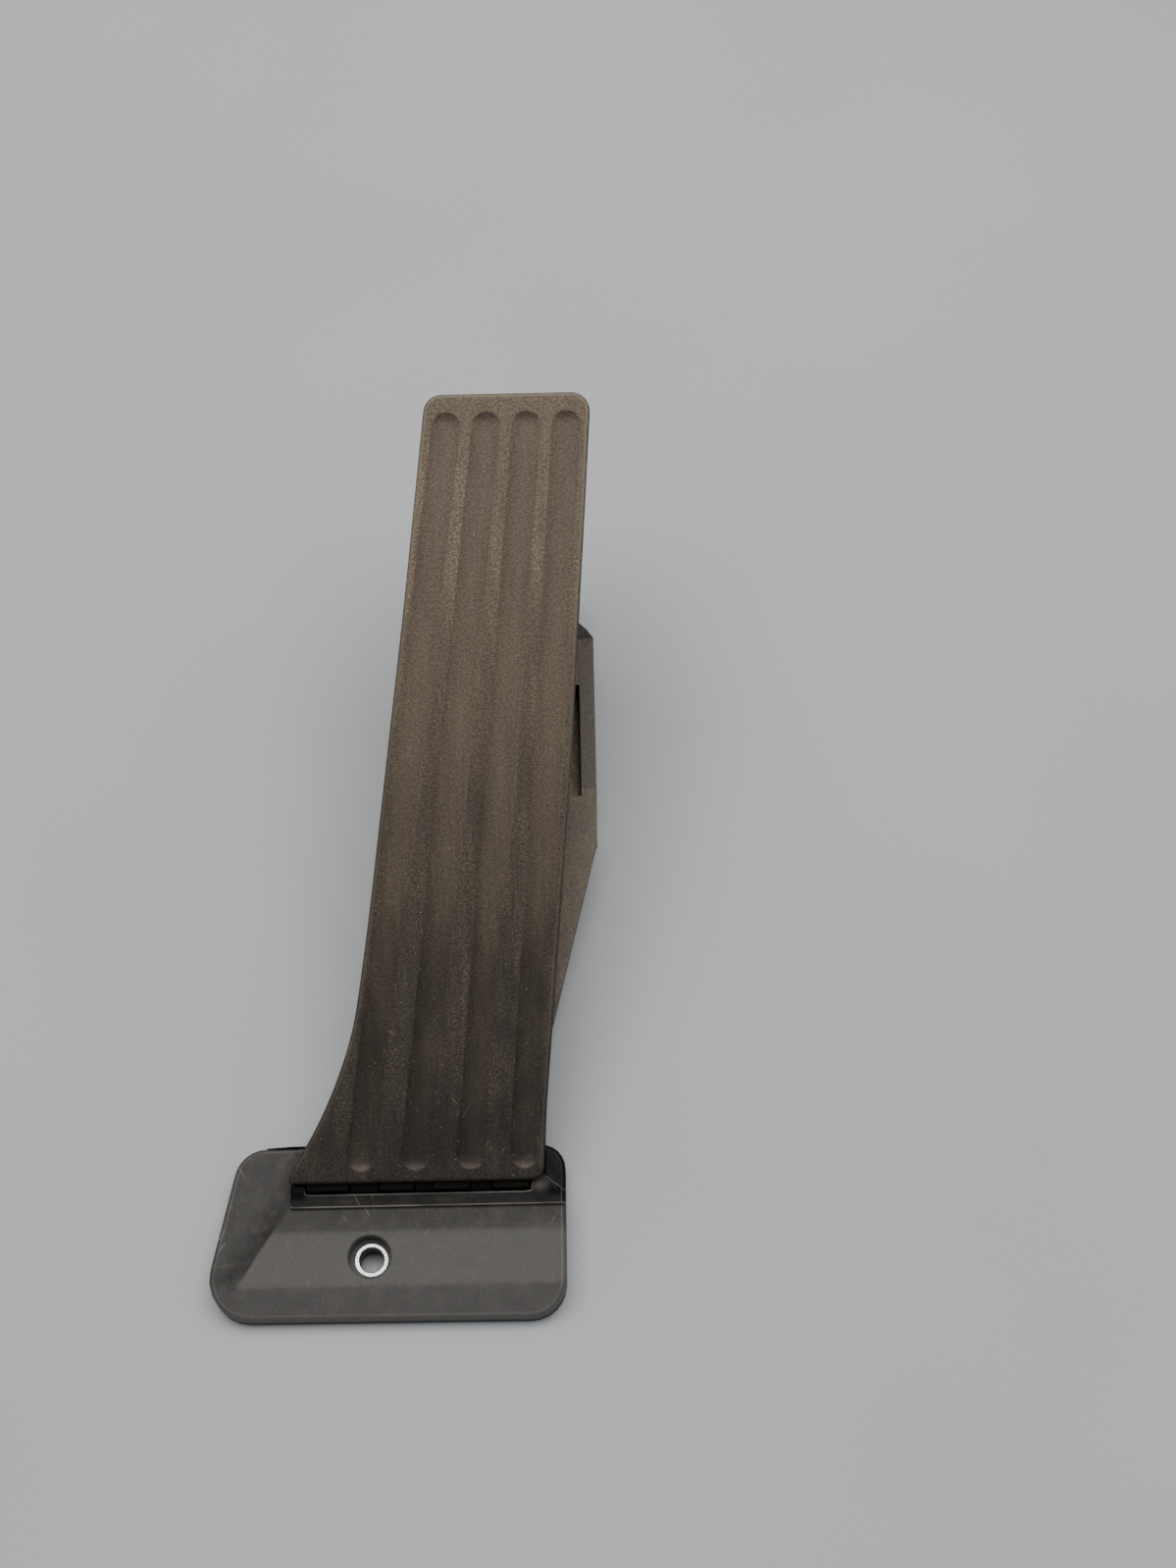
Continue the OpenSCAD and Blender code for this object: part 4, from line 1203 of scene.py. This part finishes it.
def build_carrier_rest():
    """Copies of the CAD carrier: what is under the foot's skin, in its slot and behind it."""
    above, below = ((0, 0, FOOT_SPLIT), (0, 0, -1)), ((0, 0, FOOT_SPLIT), (0, 0, 1))
    ahead, behind = ((0, FOOT_REAR, 0), (0, 1, 0)), ((0, FOOT_REAR, 0), (0, -1, 0))
    in_slot = [
        ((0, SLOT_Y, 0), (0, -1, 0)),
        ((SLOT_LEFT, 0, 0), (-1, 0, 0)),
        ((SLOT_RIGHT, 0, 0), (1, 0, 0)),
    ]
    for name, look, cuts in (
        ("carrier_sole", carrier_mat, [below, ahead]),
        # the carrier in the slot gets the painted shade
        ("carrier_trough", trough_shade_mat, [above, ahead, *in_slot]),
        ("carrier_housing", housing_mat, [behind]),
    ):
        part = cut_copy("carrier", cuts, 0.25)
        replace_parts(from_bmesh(part, name, look, "housing"), "carrier")


# ------------------------------------------------- camera, floor and lights


# The camera's place in metres, its right and up directions, and its lens
CAMERA_PLACE = (0.063587, -0.148170, 0.666)
CAMERA_RIGHT = (0.99978, -0.01913, -0.00852)
CAMERA_UP = (0.02094, 0.91335, 0.40665)
SENSOR_HEIGHT, LENS = 36.0, 54.08
# Half the floor's width, and the gap that keeps it clear of the object, in metres
FLOOR_HALF, FLOOR_GAP = 3.0, 0.0002


def camera():
    """The view from the front and above."""
    cam = bpy.data.cameras.new("camera")
    cam.sensor_fit = "VERTICAL"
    cam.sensor_height = SENSOR_HEIGHT
    cam.lens = LENS
    cam.clip_start = 0.01
    ob = bpy.data.objects.new("camera", cam)
    right, up = Vector(CAMERA_RIGHT), Vector(CAMERA_UP)
    turn = Matrix((right, up, right.cross(up))).transposed().to_4x4()
    turn.translation = Vector(CAMERA_PLACE)
    ob.matrix_world = turn
    bpy.context.scene.collection.objects.link(ob)
    bpy.context.scene.camera = ob


def area_light(name, place, target, size, power, color):
    """A soft rectangular light aimed at a target."""
    light = bpy.data.lights.new(name, "AREA")
    light.shape = "RECTANGLE"
    light.size, light.size_y = size
    light.energy = power
    light.color = color
    ob = bpy.data.objects.new(name, light)
    ob.location = place
    aim = Vector(target) - Vector(place)
    ob.rotation_euler = aim.to_track_quat("-Z", "Y").to_euler()
    bpy.context.scene.collection.objects.link(ob)


def floor_paper():
    """Pale grey paper, almost even."""
    n = Nodes("floor_paper")
    n.bump((n.noise(400.0, 3.0), 0.00005))
    uneven = n.ramp(n.noise(3.0, 3.0), 0.3, 0.7)
    color = n.mix(uneven, (0.60, 0.61, 0.62), (0.64, 0.65, 0.66))
    return n.finish(color, 0.9, specular=0.2)


def studio():
    """A plain floor, a faint sky and one large light over the object."""
    me = bpy.data.meshes.new("floor")
    w, z = FLOOR_HALF, CAD_LOW.z - FLOOR_GAP
    me.from_pydata([(-w, -w, z), (w, -w, z), (w, w, z), (-w, w, z)], [], [(0, 1, 2, 3)])
    floor = bpy.data.objects.new("floor", me)
    bpy.context.scene.collection.objects.link(floor)
    floor.data.materials.append(floor_paper())
    world = bpy.data.worlds.new("studio")
    bpy.context.scene.world = world
    world.use_nodes = True
    sky = world.node_tree.nodes["Background"]
    sky.inputs["Color"].default_value = (0.86, 0.92, 1.0, 1.0)
    sky.inputs["Strength"].default_value = 0.28
    warm = (1.0, 0.98, 0.95)
    area_light("overhead", (0.02, 0.42, 1.25), (0.02, 0.08, 0.0), (1.5, 0.9), 15, warm)


paint_nodes()
soften_nodes()
build_pad()
build_foot()
build_carrier_rest()
camera()
studio()
